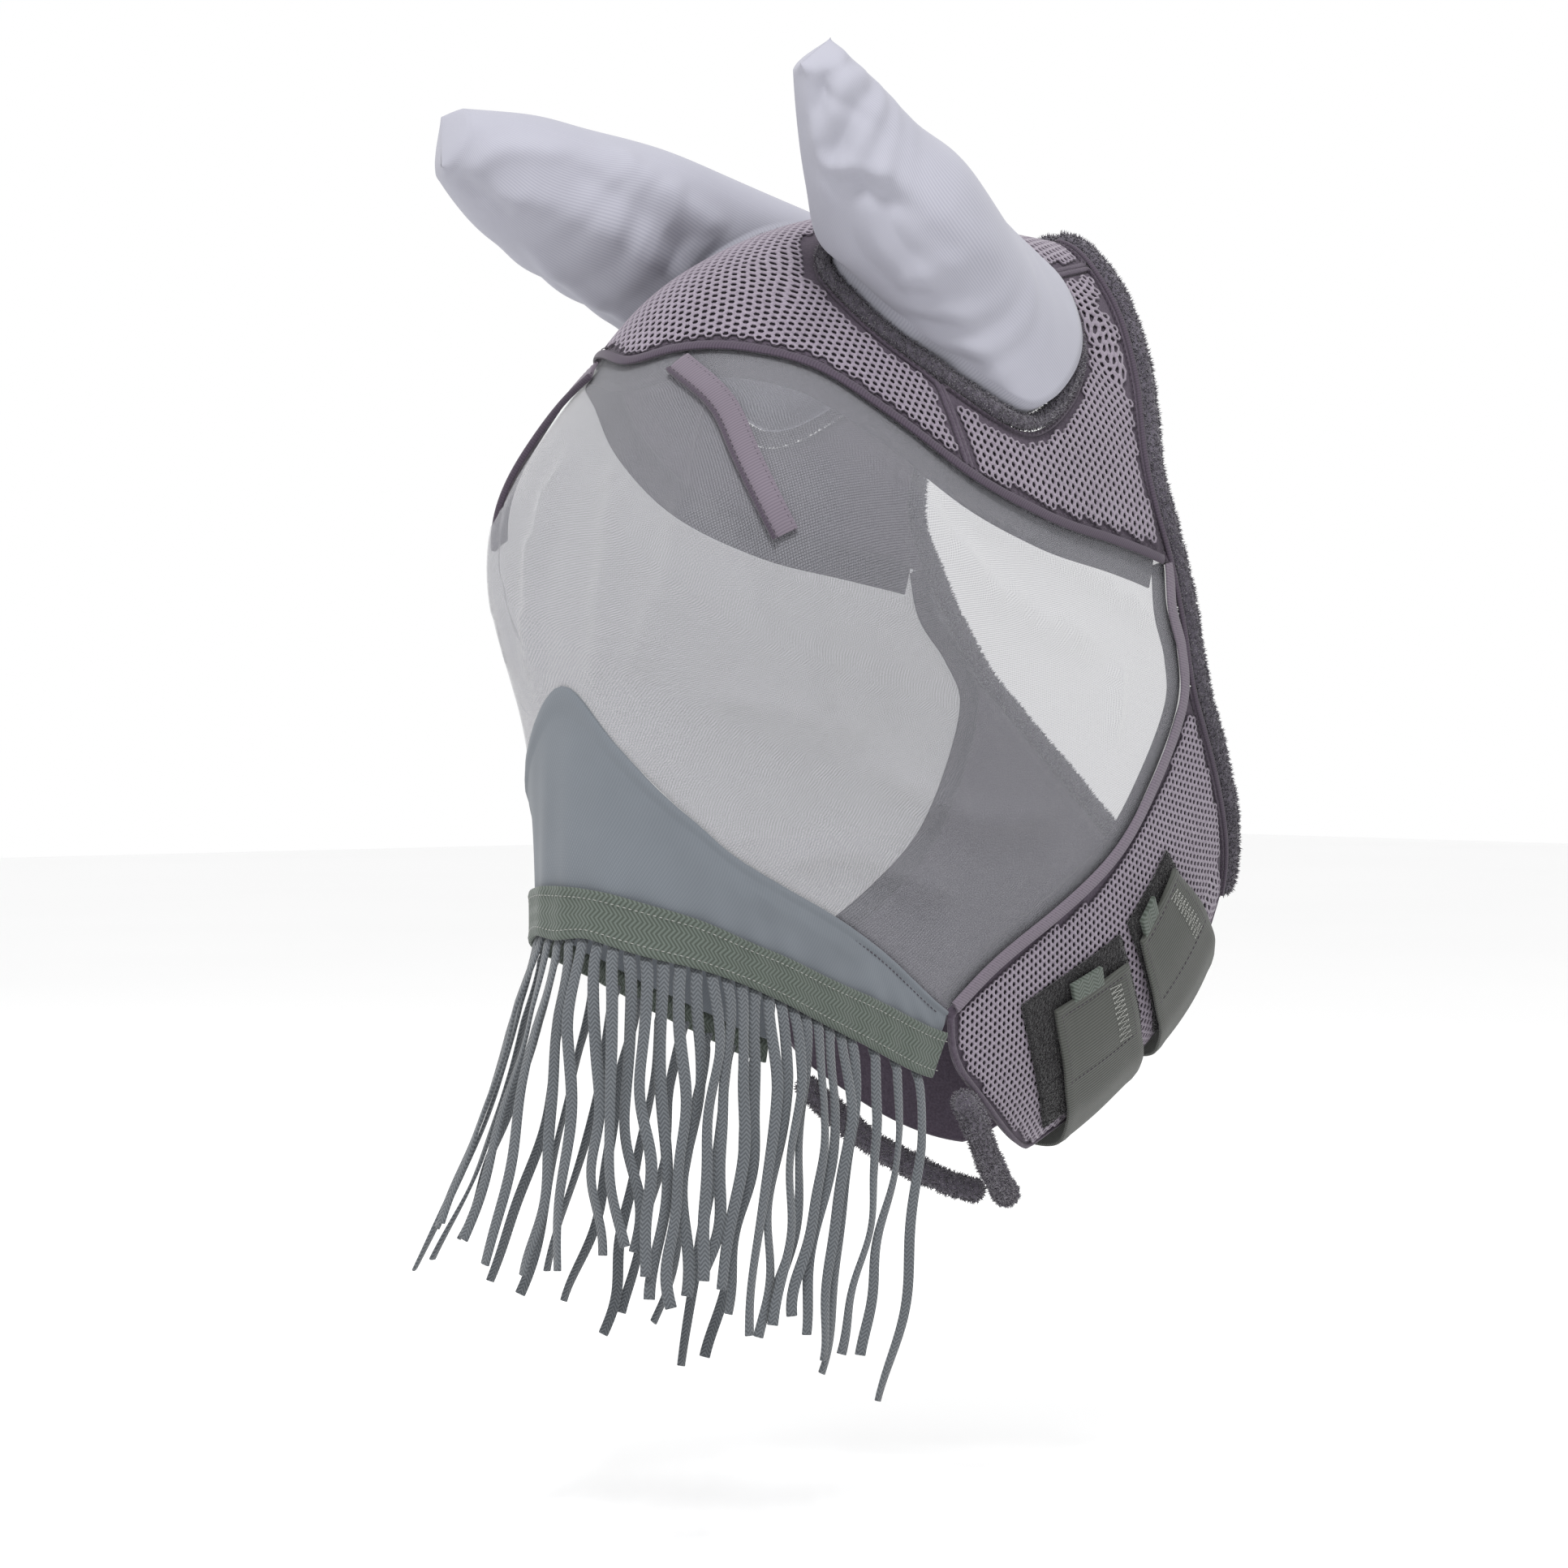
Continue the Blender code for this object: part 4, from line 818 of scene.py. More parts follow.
def lattice(grid, pitch, margin):
    """Triangle lattice of even pitch, laid on the panel's flat pattern and taken back to 3-D."""
    flat = flat_pattern(grid)
    rows, columns = grid.shape[:2]
    corners = [Vector((*p, 0)) for p in flat.reshape(-1, 2)]
    solid = grid.reshape(-1, 3)
    triangles = []
    for i in range(rows - 1):
        for j in range(columns - 1):
            a = i * columns + j
            triangles += [(a, a + 1, a + columns + 1), (a, a + columns + 1, a + columns)]
    tree = BVHTree.FromPolygons(corners, triangles)
    outline = np.concatenate((flat[0], flat[1:, -1], flat[-1, -2::-1], flat[-2:0:-1, 0]))
    low, high = outline.min(axis=0), outline.max(axis=0)
    places = {}
    for k in range(int((high[1] - low[1]) / (pitch * 0.866)) + 1):
        for i in range(int(2 * (high[0] - low[0]) / pitch) + 1):
            if (i + k) % 2 == 0:
                places[k, i] = (low[0] + i * pitch / 2, low[1] + k * pitch * 0.866)
    keys = np.array(list(places))
    clear = rim_distance(np.array(list(places.values())), outline) > margin
    index, vertices = {}, []
    for key in map(tuple, keys[clear]):
        point = Vector((*places[key], 0))
        hit, _, number, _ = tree.ray_cast(point + Vector((0, 0, 1)), Vector((0, 0, -1)))
        if hit is None:
            continue
        near = triangles[number]
        index[key] = len(vertices)
        vertices.append(barycentric_transform(point, *[corners[n] for n in near],
                                              *[Vector(solid[n]) for n in near]))
    faces = []
    for k, i in index:
        for trio in (((k, i), (k, i + 2), (k + 1, i + 1)), ((k, i), (k + 1, i + 1), (k + 1, i - 1))):
            if all(corner in index for corner in trio):
                faces.append([index[corner] for corner in trio])
    return on_head(np.array(vertices)), faces


def selvage_band(name, grid, width, low, high, finish):
    """A closed strip of cloth round a panel's outline."""
    inner = np.concatenate((grid[1, 1:-1], grid[1:-1, -2], grid[-2, 1:-1][::-1], grid[1:-1, 1][::-1]))
    outline = np.concatenate((grid[0, 1:-1], grid[1:-1, -1], grid[-1, 1:-1][::-1], grid[1:-1, 0][::-1]))
    inward = unit(inner - outline)
    for _ in range(3):
        inward = unit(np.roll(inward, 1, axis=0) + inward + np.roll(inward, -1, axis=0))
    section = ((0, low), (0, high - 0.4 * MM), (0.5 * MM, high), (width - 0.5 * MM, high),
               (width, high - 0.5 * MM), (width, low))
    rings = [lift(on_head(outline + inward * inset), height) for inset, height in section]
    count, sides = len(outline), len(section)
    vertices = np.array(rings).reshape(-1, 3)
    run = np.concatenate(((0,), np.cumsum(np.linalg.norm(np.diff(outline, axis=0), axis=1))))
    uv = np.array([[(length, inset) for length in run] for inset, _ in section]).reshape(-1, 2)
    faces = []
    for k in range(sides):
        for j in range(count):
            a, b = k * count + j, k * count + (j + 1) % count
            c, d = ((k + 1) % sides) * count + (j + 1) % count, ((k + 1) % sides) * count + j
            faces.append((a, b, c, d))
    return make_object(name, vertices, faces, finish, uv)


def spacer_panel(name, grid, node, pitch=HOLE_PITCH, hole=0.62):
    """Back layer, holed face and selvage of one spacer mesh panel."""
    base = on_head(grid * MM)
    back = shell(name + " back layer", lift(base, 0.0), lift(base, 1.2 * MM), SPACER_BACK, 0)
    seat(back, "mask", "spacer_mesh", node)
    vertices, faces = lattice(base, pitch, 2.0 * MM)
    knit = make_object(name + " open face", lift(vertices, 2.0 * MM), faces, SPACER_YARN)
    knit = run_nodes(knit, knit_tree,
                     {"Hole share": hole, "Yarn thickness": 1.0 * MM, "Material": SPACER_YARN})
    knit.data.shade_smooth()
    seat(knit, "mask", "spacer_mesh")
    strip = selvage_band(name + " selvage", base, 3.0 * MM, 0.2 * MM, 3.0 * MM, SPACER_BACK)
    seat(strip, "mask", "spacer_mesh")
    print(name, len(knit.data.polygons), "faces")


# %% Spacer mesh panels
OPENING = smooth_line(EAR_OPENING, 108, closed=True)
CROWN_SPLIT = 5
OPENING_FRONT = np.array(EAR_OPENING[3], float)
OPENING_MIDDLE = np.array(EAR_OPENING[0], float)
OPENING_REAR = np.array(EAR_OPENING[7], float)


def opening_between(first, last):
    start = int(np.argmin(np.linalg.norm(OPENING - first, axis=1)))
    end = int(np.argmin(np.linalg.norm(OPENING - last, axis=1)))
    if end < start:
        end += len(OPENING)
    return np.array([OPENING[i % len(OPENING)] for i in range(start, end + 1)])


rim = opening_between(OPENING_MIDDLE, OPENING_FRONT)
bridge = smooth_line((rim[0] * (-1, 1, 1), rim[0]), 13)
top = np.vstack((mirrored(rim)[:-1], bridge, rim[1:]))
corner = np.array(BROW_LINE[CROWN_SPLIT], float)
bottom = cut_line(across(BROW_LINE), corner * (-1, 1, 1), corner, len(top))
left = smooth_line((bottom[-1], top[-1]), 22)
spacer_panel("brow panel", fill_patch(bottom, top, on_side(left, -1), left), "brow_panel")

rim = opening_between(OPENING_REAR, OPENING_MIDDLE + (0, 1, 0))[::-1]
side_line = np.vstack((rim, smooth_line((rim[-1], REAR_LINE[1]), 12)[1:]))
front = smooth_line((side_line[0] * (-1, 1, 1), side_line[0]), 21)
rear = smooth_line(across(REAR_LINE[:2]), 21)
spacer_panel("poll panel", fill_patch(front, rear, on_side(side_line, -1), side_line), "poll_panel")

for label, side in (("left", 1), ("right", -1)):
    inner = opening_between(OPENING_FRONT, OPENING_REAR)
    rear = smooth_line(REAR_LINE[1:7][::-1], 27)
    lower = cut_line(across(BROW_LINE), BROW_LINE[CROWN_SPLIT], BROW_LINE[-1], len(inner) - 26)
    outer = np.vstack((lower, rear[1:]))
    outer[len(lower) - 1] = (lower[-1] + rear[0]) / 2
    start = smooth_line((outer[0], inner[0]), 18)
    end = smooth_line((outer[-1], inner[-1]), 18)
    spacer_panel(f"{label} temple panel", on_side(fill_patch(outer, inner, start, end), side),
                 f"{label}_temple_panel")
    front = smooth_line(CHEEK_FRONT_LINE, 48)
    chin = smooth_line(CHIN_LINE, 34)
    jaw = smooth_line(JAW_LINE, 48)
    rear = smooth_line((CHEEK_FRONT_LINE[0],) + REAR_LINE[8:], 34)
    spacer_panel(f"{label} cheek band", on_side(fill_patch(front, jaw[::-1], rear, chin), side),
                 f"{label}_cheek_band", 3.9 * MM)

# %% [markdown]
# ## Binding tapes
# Flat woven tapes cover the seams and the eye darts. Each follows its seam line on the head at one
# width, slightly crowned across so that it catches the light like a real tape over a seam.

# %% Tapes
def tape(name, line, width, low, thickness, finish, shift=0.0):
    """A crowned tape of one width along a line (mm) on the head."""
    base = on_head(np.asarray(line) * MM)
    heading = unit(np.gradient(base, axis=0))
    sideways = unit(np.cross(head_normal(base), heading))
    offsets = np.linspace(-width / 2, width / 2, 7) + shift
    grid = on_head(base[None] + sideways[None] * offsets[:, None, None])
    crown = (1 - np.linspace(-1, 1, 7) ** 2)[:, None] * thickness * 0.5 * np.ones(grid.shape[1])
    return shell(name, lift(grid, low + crown * 0.5), lift(grid, low + thickness + crown), finish, 0.3 * MM)


brow_seam = smooth_line(across(BROW_LINE), 121)[1:-1]
seat(tape("brow binding", brow_seam, 4.6 * MM, 2.6 * MM, 1.2 * MM, SEAM_TAPE), "mask", "binding",
     "brow_binding")
for label, side in (("left", 1), ("right", -1)):
    line = on_side(smooth_line((BROW_LINE[-1],) + CHEEK_BINDING_LINE, 90)[:-1], side)
    seat(tape(f"{label} cheek binding", line, 7.0 * MM, 2.8 * MM, 1.3 * MM, TAPE), "mask", "binding",
         f"{label}_cheek_binding")
    seat(tape(f"{label} cheek facing", line, 11.0 * MM, -2.8 * MM, 1.2 * MM, FACING, side * -2.4 * MM),
         "mask", "binding")
    line = on_side(smooth_line(DART_LINE, 40), side)
    seat(tape(f"{label} eye dart tape", line, 12.0 * MM, 1.6 * MM, 1.6 * MM, TAPE), "mask", "binding",
         f"{label}_eye_dart_tape")
    seat(tape(f"{label} dart edge", line, 2.2 * MM, 1.7 * MM, 2.2 * MM, SEAM_TAPE, side * -6.0 * MM),
         "mask", "binding")
    line = on_side(smooth_line(REAR_LINE, 120)[2:-1], side)
    seat(tape(f"{label} rear seam tape", line, 3.2 * MM, 3.0 * MM, 1.2 * MM, SEAM_TAPE), "mask", "binding")
print("tapes laid")

# %% [markdown]
# ## Fleece rolls
# Rolls of brushed fleece keep the mask from rubbing: down the rear edge, round each ear opening and
# along the chin. A soft roll is a closed tube, a little uneven; Geometry Nodes grow the pile on it.

# %% Rolls
PILE_DENSITY = 750000.0            # fibres per square metre, about 1.2 mm apart
PILE_LENGTH, PILE_RADIUS = 2.2 * MM, 0.42 * MM


def roll_mesh(name, centres, radius, finish, closed=False, seed=1):
    """A soft round roll along a path in metres, rounded at its ends."""
    centres = np.asarray(centres, float)
    if closed:
        heading = unit(np.roll(centres, -1, axis=0) - np.roll(centres, 1, axis=0))
    else:
        heading = unit(np.gradient(centres, axis=0))
    rng = np.random.default_rng(seed)
    sides, count = 14, len(centres)
    run = np.concatenate(((0,), np.cumsum(np.linalg.norm(np.diff(centres, axis=0), axis=1))))
    size = radius * (1 + 0.05 * np.sin(run / (7 * MM) + rng.uniform(0, 6)) + 0.03 * np.sin(run / (2.9 * MM)))
    if not closed:
        from_end = np.minimum(run, run[-1] - run) / radius
        size *= np.sqrt(np.clip(1 - np.clip(1 - from_end, 0, 1) ** 2, 0.04, 1))
    level = np.array((0.0, 0.0, 1.0))
    vertices, uv, faces = [], [], []
    for k in range(count):
        level = level - heading[k] * (level @ heading[k])
        level /= np.linalg.norm(level)
        sideways = np.cross(heading[k], level)
        for j in range(sides):
            turn = 2 * math.pi * j / sides
            vertices.append(centres[k] + size[k] * (sideways * math.cos(turn) + level * math.sin(turn)))
            uv.append((run[k], radius * turn))
    twist = 0
    if closed:
        first, last = vertices[0] - centres[0], vertices[-sides:] - centres[-1]
        twist = int(np.argmax(unit(last) @ unit(first)))
    for k in range(count if closed else count - 1):
        for j in range(sides):
            a, b = k * sides + j, k * sides + (j + 1) % sides
            if k == count - 1:
                c, d = (j + 1 - twist) % sides, (j - twist) % sides
            else:
                c, d = b + sides, a + sides
            faces.append((a, b, c, d))
    if not closed:
        faces += [tuple(range(sides))[::-1], tuple(range((count - 1) * sides, count * sides))]
    return make_object(name, vertices, faces, finish, uv)


def fleece_roll(name, centres, radius, node, closed=False, seed=1):
    made = roll_mesh(name, centres, radius - 1.0 * MM, FLEECE, closed, seed)
    made = run_nodes(made, pile_tree, {"Density": PILE_DENSITY, "Fibre length": PILE_LENGTH,
                                       "Fibre radius": PILE_RADIUS, "Seed": seed, "Material": FLEECE})
    made.data.shade_smooth()
    seat(made, "mask", "fleece", node)
    print(name, len(made.data.polygons), "faces")


def beside(line, distance, height):
    """A line (mm) moved sideways along the head and raised, in metres."""
    base = on_head(np.asarray(line) * MM)
    sideways = unit(np.cross(head_normal(base), unit(np.gradient(base, axis=0))))
    return lift(on_head(base + sideways * distance), height)


REAR_RADIUS, OPENING_RADIUS, CHIN_RADIUS = 5.5 * MM, 4.6 * MM, 7.0 * MM
ring_inward = unit(OPENING.mean(axis=0) - OPENING)
for label, side in (("left", 1), ("right", -1)):
    path = beside(smooth_line(REAR_LINE, 170), REAR_RADIUS + 1.0 * MM, REAR_RADIUS * 0.6)
    path[0, 0] = 0.4 * MM
    fleece_roll(f"{label} rear fleece", on_side(path, side), REAR_RADIUS, f"{label}_rear_fleece",
                seed=2 + side)
    path = lift(on_head((OPENING + ring_inward * 4.0) * MM), OPENING_RADIUS * 0.8)
    fleece_roll(f"{label} ear opening fleece", on_side(path, side), OPENING_RADIUS,
                f"{label}_ear_opening_fleece", True, 5 + side)
    path = smooth_line(CHIN_ROLL_LINE, 50) * MM
    fleece_roll(f"{label} chin roll", on_side(path, side), CHIN_RADIUS, f"{label}_chin_roll", seed=8 + side)

# %% [markdown]
# ## Ear covers
# Each ear cover is a bag of stretch jersey, sewn into the fleece ring and closed by a flat seam at its
# tip. It follows the ear inside it, so it is full in the middle and creased where it bends at the
# base. We loft it from rings, then raise and sink soft creases and crumple it near its base.

# %% Ear cover shape
# Points of each ear's middle line in mm, and its width and thickness in mm by share of its length.
LEFT_EAR_AXIS = ((64, 80, -38), (79, 30, -4), (87, -4, 24), (91, -22, 46), (93, -35, 62), (94, -41, 70))
RIGHT_EAR_AXIS = ((-64, 80, -38), (-82, 24, -6), (-104, -38, 20), (-115, -66, 35), (-122, -88, 45),
                  (-124, -95, 47))
LEFT_EAR_WIDTHS = ((1.0, 64, 50), (0.8, 68, 52), (0.55, 51, 42), (0.35, 36, 30), (0.15, 25, 21),
                   (0.0, 15, 12))
RIGHT_EAR_WIDTHS = ((1.0, 62, 48), (0.8, 64, 46), (0.55, 54, 40), (0.35, 47, 35), (0.15, 38, 28),
                    (0.0, 22, 17))
EAR_STATIONS, EAR_FREE_STATION = 91, 45
NECK_RINGS = 26
EAR_WALL = 1.2 * MM
EAR_RADIUS = 60.0 * MM                         # of the bag where it is widest; it sets the thread width
CRUMPLE_PITCH, CRUMPLE_REACH, CRUMPLE_SPREAD = 14.0 * MM, 76.0 * MM, 30.0 * MM
# Share of the last ring's width and of its thickness, and rise in mm, up to the tip seam.
EAR_CLOSING = ((0.99, 0.85, 1.5), (0.97, 0.62, 3.2), (0.94, 0.38, 4.6), (0.91, 0.16, 5.6), (0.90, 0.05, 6.0))


def ear_rings(axis_points, widths, side):
    """Rings of the bag from inside the fleece ring to the tip, in metres."""
    clearance = 2 * OPENING_RADIUS / MM - 0.6
    foot = on_head(on_side(OPENING + ring_inward * clearance, side) * MM)
    base, neck = lift(foot, 1.0 * MM), lift(foot, 13.0 * MM)
    axis = smooth_line(axis_points, EAR_STATIONS) * MM
    ahead = unit(np.gradient(axis, axis=0))
    first = base - base.mean(axis=0)
    table = np.array(widths[::-1], float)
    free = []
    for k in range(EAR_FREE_STATION, EAR_STATIONS):
        back = 1 - k / (EAR_STATIONS - 1)
        wide, deep = (np.interp(back, table[:, 0], table[:, column]) * MM for column in (1, 2))
        flat = first - (first @ ahead[k])[:, None] * ahead[k]
        sideways = unit(np.cross(ahead[k], (0.0, 1.0, 0.35)))
        upright = np.cross(sideways, ahead[k])
        angle = np.arctan2(flat @ upright / deep, flat @ sideways / wide)
        free.append(axis[k] + sideways * (wide * np.cos(angle))[:, None]
                    + upright * (deep * np.sin(angle))[:, None])
    rings = [base, (base + neck) / 2]
    rings += [neck + (free[0] - neck) * share for share in np.linspace(0, 1, NECK_RINGS, endpoint=False)]
    rings = np.array(rings + free)
    for _ in range(30):
        rings[3:-1] = (rings[2:-2] + 2 * rings[3:-1] + rings[4:]) / 4
    for _ in range(3):
        rings[2:] = (np.roll(rings[2:], 1, axis=1) + 2 * rings[2:] + np.roll(rings[2:], -1, axis=1)) / 4
    tip = rings[-1].mean(axis=0)
    offset = rings[-1] - tip
    closing = [tip + upright * (offset @ upright)[:, None] * wide
               + sideways * (offset @ sideways)[:, None] * thick + ahead[-1] * rise * MM
               for wide, thick, rise in EAR_CLOSING]
    return np.concatenate((rings, np.array(closing)))


def crumple(rings, normal, centre, facing, height):
    """Creases where the bag is pushed down on itself: arcs round a place higher up the ear."""
    gap = np.linalg.norm(rings - np.array(centre) * MM, axis=-1)
    outwards = normal @ unit(np.array(facing))
    phase = gap / CRUMPLE_PITCH + 0.30 * np.sin(3.1 * outwards + gap / (11 * MM))
    crest = 1 - np.abs(2 * (phase % 1) - 1) ** 1.3
    where = np.exp(-((gap - CRUMPLE_REACH) / CRUMPLE_SPREAD) ** 2) * np.clip(1.6 * outwards - 0.1, 0, 1)
    return height * MM * where * (crest - 0.6)


def ear_cover(name, rings, creases, node, *crumpled):
    """A closed two-sided bag from its rings, creased along the given paths."""
    ahead = np.gradient(rings, axis=0)
    around = np.roll(rings, -1, axis=1) - np.roll(rings, 1, axis=1)
    normal = unit(np.cross(around, ahead))
    if ((rings - rings.mean(axis=1, keepdims=True)) * normal).sum() < 0:
        normal = -normal
    raised = np.zeros(rings.shape[:2])
    for path, width, height in creases:
        raised += ridge(rings, path, width, height)
    share = np.linspace(0, 1, rings.shape[0])[:, None]
    turn = np.linspace(0, 2 * math.pi, rings.shape[1], endpoint=False)[None]
    raised += 0.5 * MM * np.sin(7 * share + 3 * np.sin(turn)) * np.sin(math.pi * share)
    raised += crumple(rings, normal, *crumpled)
    for _ in range(2):
        raised[1:-1] = (raised[:-2] + 2 * raised[1:-1] + raised[2:]) / 4
        raised = (np.roll(raised, 1, axis=1) + 2 * raised + np.roll(raised, -1, axis=1)) / 4
    outer = rings + normal * raised[..., None]
    inner = outer - normal * EAR_WALL
    count = rings.shape[1]
    layer = rings.shape[0] * count
    run = np.cumsum(np.linalg.norm(np.diff(outer, axis=0, prepend=outer[:1]), axis=-1).mean(axis=1))
    wide = EAR_RADIUS * turn
    uv = np.stack(np.broadcast_arrays(wide, run[:, None]), axis=-1).reshape(-1, 2)
    faces = []
    for k in range(rings.shape[0] - 1):
        for j in range(count):
            a, b = k * count + j, k * count + (j + 1) % count
            faces.append((a, b, b + count, a + count))
            faces.append((layer + b, layer + a, layer + a + count, layer + b + count))
    last = layer - count
    faces.append(tuple(last + j for j in range(count)))
    faces.append(tuple(layer + last + j for j in range(count))[::-1])
    for j in range(count):
        faces.append(((j + 1) % count, j, layer + j, layer + (j + 1) % count))
    vertices = np.vstack((outer.reshape(-1, 3), inner.reshape(-1, 3)))
    made = make_object(name, vertices, faces, JERSEY, np.vstack((uv, uv)))
    seat(made, "mask", "jersey", node)
    print(name, len(made.data.polygons), "faces")


LEFT_EAR_CREASES = (
    (((90, -42, 22), (106, -34, 20), (118, -16, 16)), 4, 3.2),
    (((90, -36, 12), (108, -28, 10), (120, -6, 2)), 5, -3.0),
    (((111, -30, 30), (123, 4, 1), (116, 53, -18)), 5, 3.0),
    (((94, -46, 49), (92, -38, 24), (84, -30, 8)), 5, 2.6),
    (((98, -46, 58), (112, -30, 44), (118, -12, 30)), 3, -1.8),
    (((94, 7, -31), (114, 13, -24), (120, 28, -20)), 5, 3.4),
)
RIGHT_EAR_CREASES = (
    (((-109, -97, 31), (-92, -87, 42), (-73, -62, 40)), 4, 3.6),
    (((-65, -40, 43), (-48, -20, 23), (-47, 13, 3)), 4, 4.2),
    (((-72, -63, 36), (-52, -27, 9), (-55, 1, -9)), 5, -3.8),
    (((-103, -64, -1), (-101, -30, -24), (-90, 10, -40)), 5, 3.4),
    (((-106, -87, 21), (-80, -66, 17), (-66, -37, -2)), 5, 3.0),
    (((-70, -52, 16), (-62, -24, -8), (-64, 8, -24)), 4, 3.4),
    (((-118, -92, 34), (-108, -90, 22), (-100, -78, 12)), 4, -3.2),
)
ear_cover("left ear cover", ear_rings(LEFT_EAR_AXIS, LEFT_EAR_WIDTHS, 1), LEFT_EAR_CREASES,
          "left_ear_cover", (114, 26, 14), (0.90, -0.15, -0.40), 6.0)
ear_cover("right ear cover", ear_rings(RIGHT_EAR_AXIS, RIGHT_EAR_WIDTHS, -1), RIGHT_EAR_CREASES,
          "right_ear_cover", (-105, -55, 45), (0.30, -0.70, -0.60), 2.4)

# %% [markdown]
# ## Closure straps
# Two ribbed straps are sewn at the off side, pass under the jaw and close on the near cheek with hook
# and loop tape. Strap, hook tape and pull tab ride on the strap's own body, so they peel as one; the
# black loop patches stay on the cheek.

# %% Straps
STRAP_FAR, LOOP_LOW, HOOK_LOW, STRAP_NEAR = 4.2 * MM, 4.2 * MM, 6.0 * MM, 7.6 * MM
STRAP_THICKNESS = 1.6 * MM
LOOP_DENSITY = 900000.0            # loops per square metre
LOOP_LENGTH, LOOP_RADIUS = 0.8 * MM, 0.4 * MM
TAB_OVERLAP, TAB_REACH = 2.0, 11.0             # in mm, on the strap and out from its stitched root
STRAPS = {
    "front": (((57, 137, -382), (46, 156, -418), (18, 181, -452), (-16, 185, -452), (-45, 172, -424)),
              ((55, 187, -358), (44, 207, -387), (18, 231, -413), (-16, 235, -413), (-45, 219, -391))),
    "rear": (((57, 196, -349), (45, 218, -379), (19, 243, -403), (-16, 247, -403), (-45, 231, -382)),
             ((61, 214, -312), (48, 247, -332), (23, 278, -357), (-16, 283, -358), (-45, 267, -338))),
}
LOOP_PATCHES = {"front": ((60, 116, -380), (60, 184, -347), (30, 158, -442), (28, 226, -403)),
                "rear": ((60, 188, -340), (63, 212, -304), (28, 238, -398), (33, 264, -350))}
TAB_SPANS = {"front": (0.25, 0.65), "rear": (0.1, 0.45)}


def quad_grid(first, second, columns, rows):
    return fill_patch(smooth_line(first, columns), smooth_line(second, columns),
                      smooth_line((first[0], second[0]), rows), smooth_line((first[-1], second[-1]), rows))


strap_tops = {}
for label, (front, rear) in STRAPS.items():
    base = on_head(quad_grid(front, rear, 90, 15) * MM)
    share = np.clip((base[..., 0] + 45 * MM) / (60 * MM), 0, 1)
    low = STRAP_FAR + (STRAP_NEAR - STRAP_FAR) * share
    low = low + rim_wave(base, 33 * MM, 0.3 * MM) + 0.2 * MM
    rim = np.zeros(base.shape[:2])
    rim[[1, -2]] = 0.35 * MM
    rim[:, 1:3] = 0.5 * MM
    seat(shell(f"{label} closure strap", lift(base, low), lift(base, low + STRAP_THICKNESS + rim), STRAP_WEB),
         f"{label}_flap", "strap_web", f"{label}_closure_strap")
    strap_tops[label] = lift(base, low + STRAP_THICKNESS + 0.2 * MM)
    hook = on_head(quad_grid(front, rear, 90, 15)[1:-1, 3:30] * MM)
    seat(shell(f"{label} hook tape", lift(hook, HOOK_LOW), lift(hook, HOOK_LOW + 1.2 * MM), LOOP_PILE),
         f"{label}_flap", "loop_tape", f"{label}_hook_tape")
    top_front, top_rear, low_front, low_rear = (np.array(c, float) for c in LOOP_PATCHES[label])
    patch_grid = fill_patch(smooth_line((top_front, low_front), 50), smooth_line((top_rear, low_rear), 50),
                            smooth_line((top_front, top_rear), 30), smooth_line((low_front, low_rear), 30))
    patch_base = on_head(patch_grid * MM)
    patch = shell(f"{label} loop patch", lift(patch_base, LOOP_LOW - 0.4 * MM),
                  lift(patch_base, LOOP_LOW + 0.7 * MM), LOOP_PILE, 0)
    patch = run_nodes(patch, pile_tree, {"Density": LOOP_DENSITY, "Fibre length": LOOP_LENGTH,
                                         "Fibre radius": LOOP_RADIUS, "Seed": 4, "Material": LOOP_PILE})
    seat(patch, "mask", "loop_tape", f"{label}_loop_patch")
    edge_step = np.array(rear[0], float) - front[0]
    inward = unit(np.array(front[1], float) - front[0])
    start, end = TAB_SPANS[label]
    foot, far = (front[0] + edge_step * share + inward * TAB_OVERLAP for share in (start, end))
    foot_end, far_end = foot - inward * TAB_REACH, far - inward * TAB_REACH
    tab = fill_patch(smooth_line((foot, foot_end), 12), smooth_line((far, far_end), 12),
                     smooth_line((foot, far), 12), smooth_line((foot_end, far_end), 12))
    tab_base = on_head(tab * MM)
    fold = np.linspace(0.3, 1.6, 12)[None] ** 0.5 * MM * np.ones((12, 1))
    seat(shell(f"{label} pull tab", lift(tab_base, STRAP_NEAR - 0.2 * MM + fold * 0.3),
               lift(tab_base, STRAP_NEAR + STRAP_THICKNESS + fold), WEBBING),
         f"{label}_flap", "webbing", f"{label}_pull_tab")
print("straps, hook tapes, loop patches and tabs made")

# %% [markdown]
# ## Stitches
# Seams are what make a sewn thing read as sewn. Each seam is a line of edges on the cloth; the stitch
# tree turns it into a curve, measures off the stitch length and sets a stretched ball at each step.

# %% Stitches
def stitch_lines(name, lines, body, slot, finish=THREAD_DARK, pitch=3.4 * MM, size=(0.32, 0.32, 1.15)):
    """Rows of stitches along lines in metres, as one plain mesh."""
    vertices, edges = [], []
    for line in lines:
        edges += [(len(vertices) + k, len(vertices) + k + 1) for k in range(len(line) - 1)]
        vertices += [tuple(p) for p in line]
    mesh = bpy.data.meshes.new(name)
    mesh.from_pydata(vertices, edges, [])
    mesh.materials.append(finish)
    made = bpy.data.objects.new(name.replace(" ", "_"), mesh)
    bpy.context.collection.objects.link(made)
    made = run_nodes(made, stitch_tree, {"Stitch pitch": pitch, "Stitch size": tuple(s * MM for s in size),
                                         "Material": finish})
    made.data.shade_smooth()
    seat(made, body, slot)
    print(name, len(made.data.polygons) // 20, "stitches")


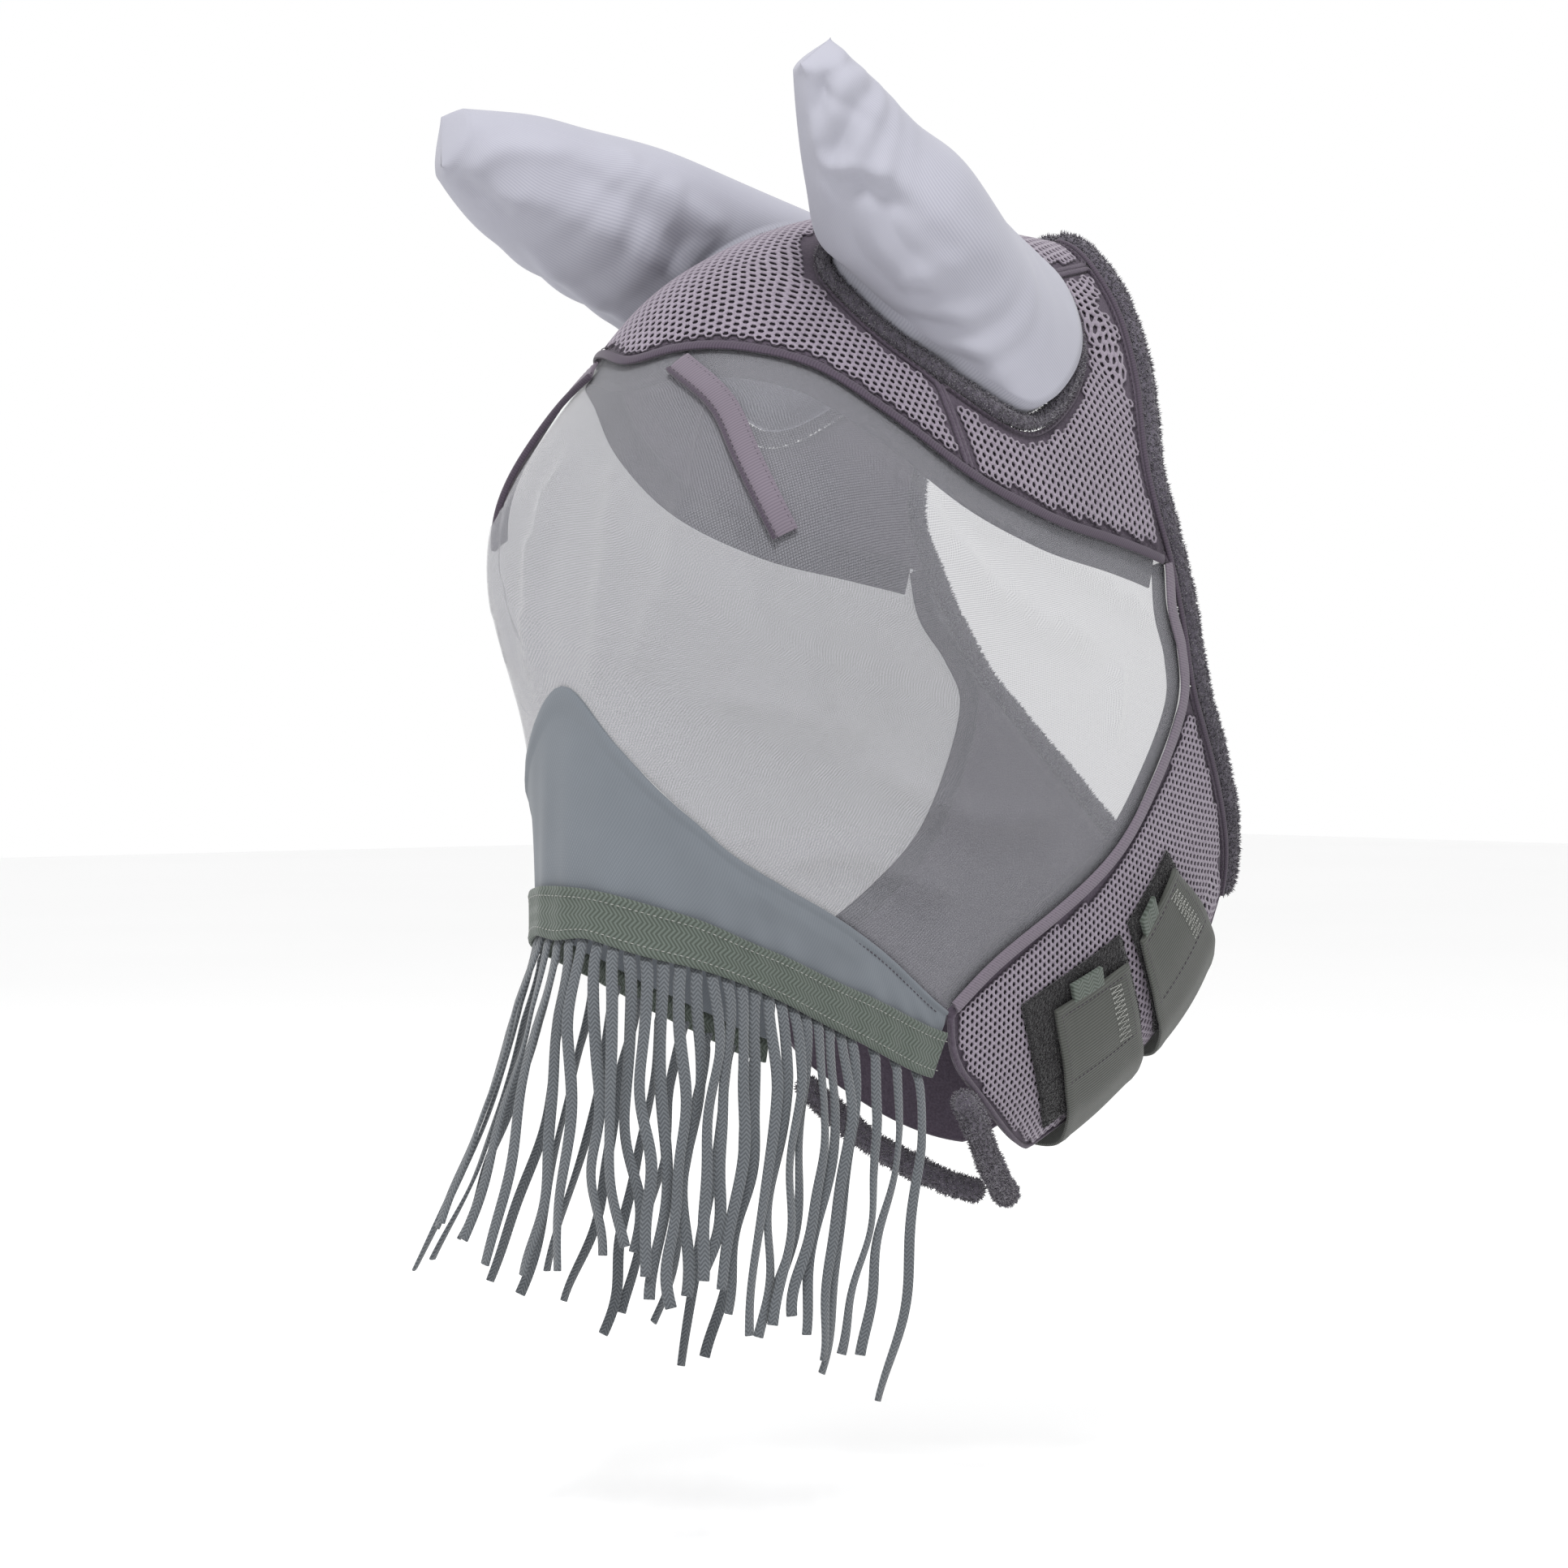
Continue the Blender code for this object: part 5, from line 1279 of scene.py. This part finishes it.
BAND_STITCH_HEIGHT = 4.9 * MM
seam_rows = [beside(brow_seam, 3.6 * MM, 3.4 * MM)]
for side in (1, -1):
    line = on_side(smooth_line((BROW_LINE[-1],) + CHEEK_BINDING_LINE, 130)[:-1], side)
    seam_rows += [beside(line, offset * MM, 4.3 * MM) for offset in (-1.9, 1.9)]
    line = on_side(smooth_line(DART_LINE, 60), side)
    seam_rows += [beside(line, offset * MM, 3.4 * MM) for offset in (-4.6, 4.2)]
    line = on_side(smooth_line(REAR_LINE, 160)[4:-2], side)
    seam_rows += [beside(line, -side * 4.0 * MM, 3.5 * MM)]
    line = on_side(OPENING - ring_inward * 1.5, side)
    seam_rows += [lift(on_head(line * MM), 3.5 * MM)]
stitch_lines("mauve stitches", seam_rows, "mask", "binding")
nose_top = beside(smooth_line(across(NOSE_LINE), 200)[3:-3], -4.0 * MM, CLOTH_HEIGHT + 0.25 * MM)
band_rows = [lift(band_grid[row], BAND_STITCH_HEIGHT) for row in (2, -3)]
stitch_lines("nose panel stitches", [nose_top], "mask", "nose_cloth", pitch=3.0 * MM)
stitch_lines("noseband stitches", band_rows, "mask", "webbing", THREAD_PALE, 3.0 * MM, (0.25, 0.25, 1.0))
for label, sheet_top in strap_tops.items():
    rows, columns = sheet_top.shape[:2]
    box = [sheet_top[1:-1, 3], sheet_top[1:-1, 26], sheet_top[1, 3:27], sheet_top[-2, 3:27]]
    stitch_lines(f"{label} strap box stitches", box, f"{label}_flap", "strap_web", THREAD_DARK, 3.0 * MM)
    zigzag = np.array([sheet_top[-3 if k % 2 else -5, 4 + k] for k in range(22)])
    stitch_lines(f"{label} strap zigzag", [zigzag], f"{label}_flap", "strap_web", THREAD_PALE, 1.5 * MM,
                 (0.35, 0.35, 0.9))
    sewn = [sheet_top[1:-1, -3], sheet_top[1:-1, -6]]
    stitch_lines(f"{label} strap sewn end", sewn, f"{label}_flap", "strap_web", THREAD_DARK, 3.0 * MM)

# %% [markdown]
# ## Floor and light
# A plain pale floor below the fringe and a white surround. The brightest light is small and stands high
# in front on the near side, so that folds and knit cast short shadows. A wide weak one fills from the
# off side and another lights the rear edge.

# %% Floor and light
FLOOR_HEIGHT, FLOOR_HALF = -0.640, 9.0
floor_finish = bpy.data.materials.new("painted floor, pale")
floor_finish.use_nodes = True
tree = floor_finish.node_tree
places = add(tree, "ShaderNodeTexCoord")
cloud = add(tree, "ShaderNodeTexNoise", {"Vector": places.outputs["Object"], "Scale": 0.8})
pale = add(tree, "ShaderNodeMix", {0: cloud.outputs[0], 6: linear("#f6f6f6"), 7: linear("#fafafa")},
           data_type="RGBA")
tree.links.new(pale.outputs[2], tree.nodes["Principled BSDF"].inputs["Base Color"])
tree.nodes["Principled BSDF"].inputs["Roughness"].default_value = 0.9
corners = [(x * FLOOR_HALF, y * FLOOR_HALF, FLOOR_HEIGHT) for x, y in ((-1, -1), (1, -1), (1, 1), (-1, 1))]
floor = make_object("floor", corners, [(0, 1, 2, 3)], floor_finish)

world = bpy.data.worlds.new("studio")
bpy.context.scene.world = world
world.use_nodes = True
world.node_tree.nodes["Background"].inputs["Color"].default_value = (1, 1, 1, 1)
world.node_tree.nodes["Background"].inputs["Strength"].default_value = 1.0


def soft_light(name, place, size, power):
    """A square area light aimed at the mask."""
    data = bpy.data.lights.new(name, "AREA")
    data.size = size
    data.energy = power
    lamp = bpy.data.objects.new(name, data)
    lamp.location = place
    lamp.rotation_euler = (Vector(place) - VIEW_TARGET).to_track_quat("Z", "Y").to_euler()
    bpy.context.collection.objects.link(lamp)


soft_light("key", (1.3, -1.1, 1.9), 0.6, 58)
soft_light("fill", (-1.6, -1.4, 0.8), 1.4, 8)
soft_light("back", (-1.2, 2.0, 1.4), 1.6, 8)
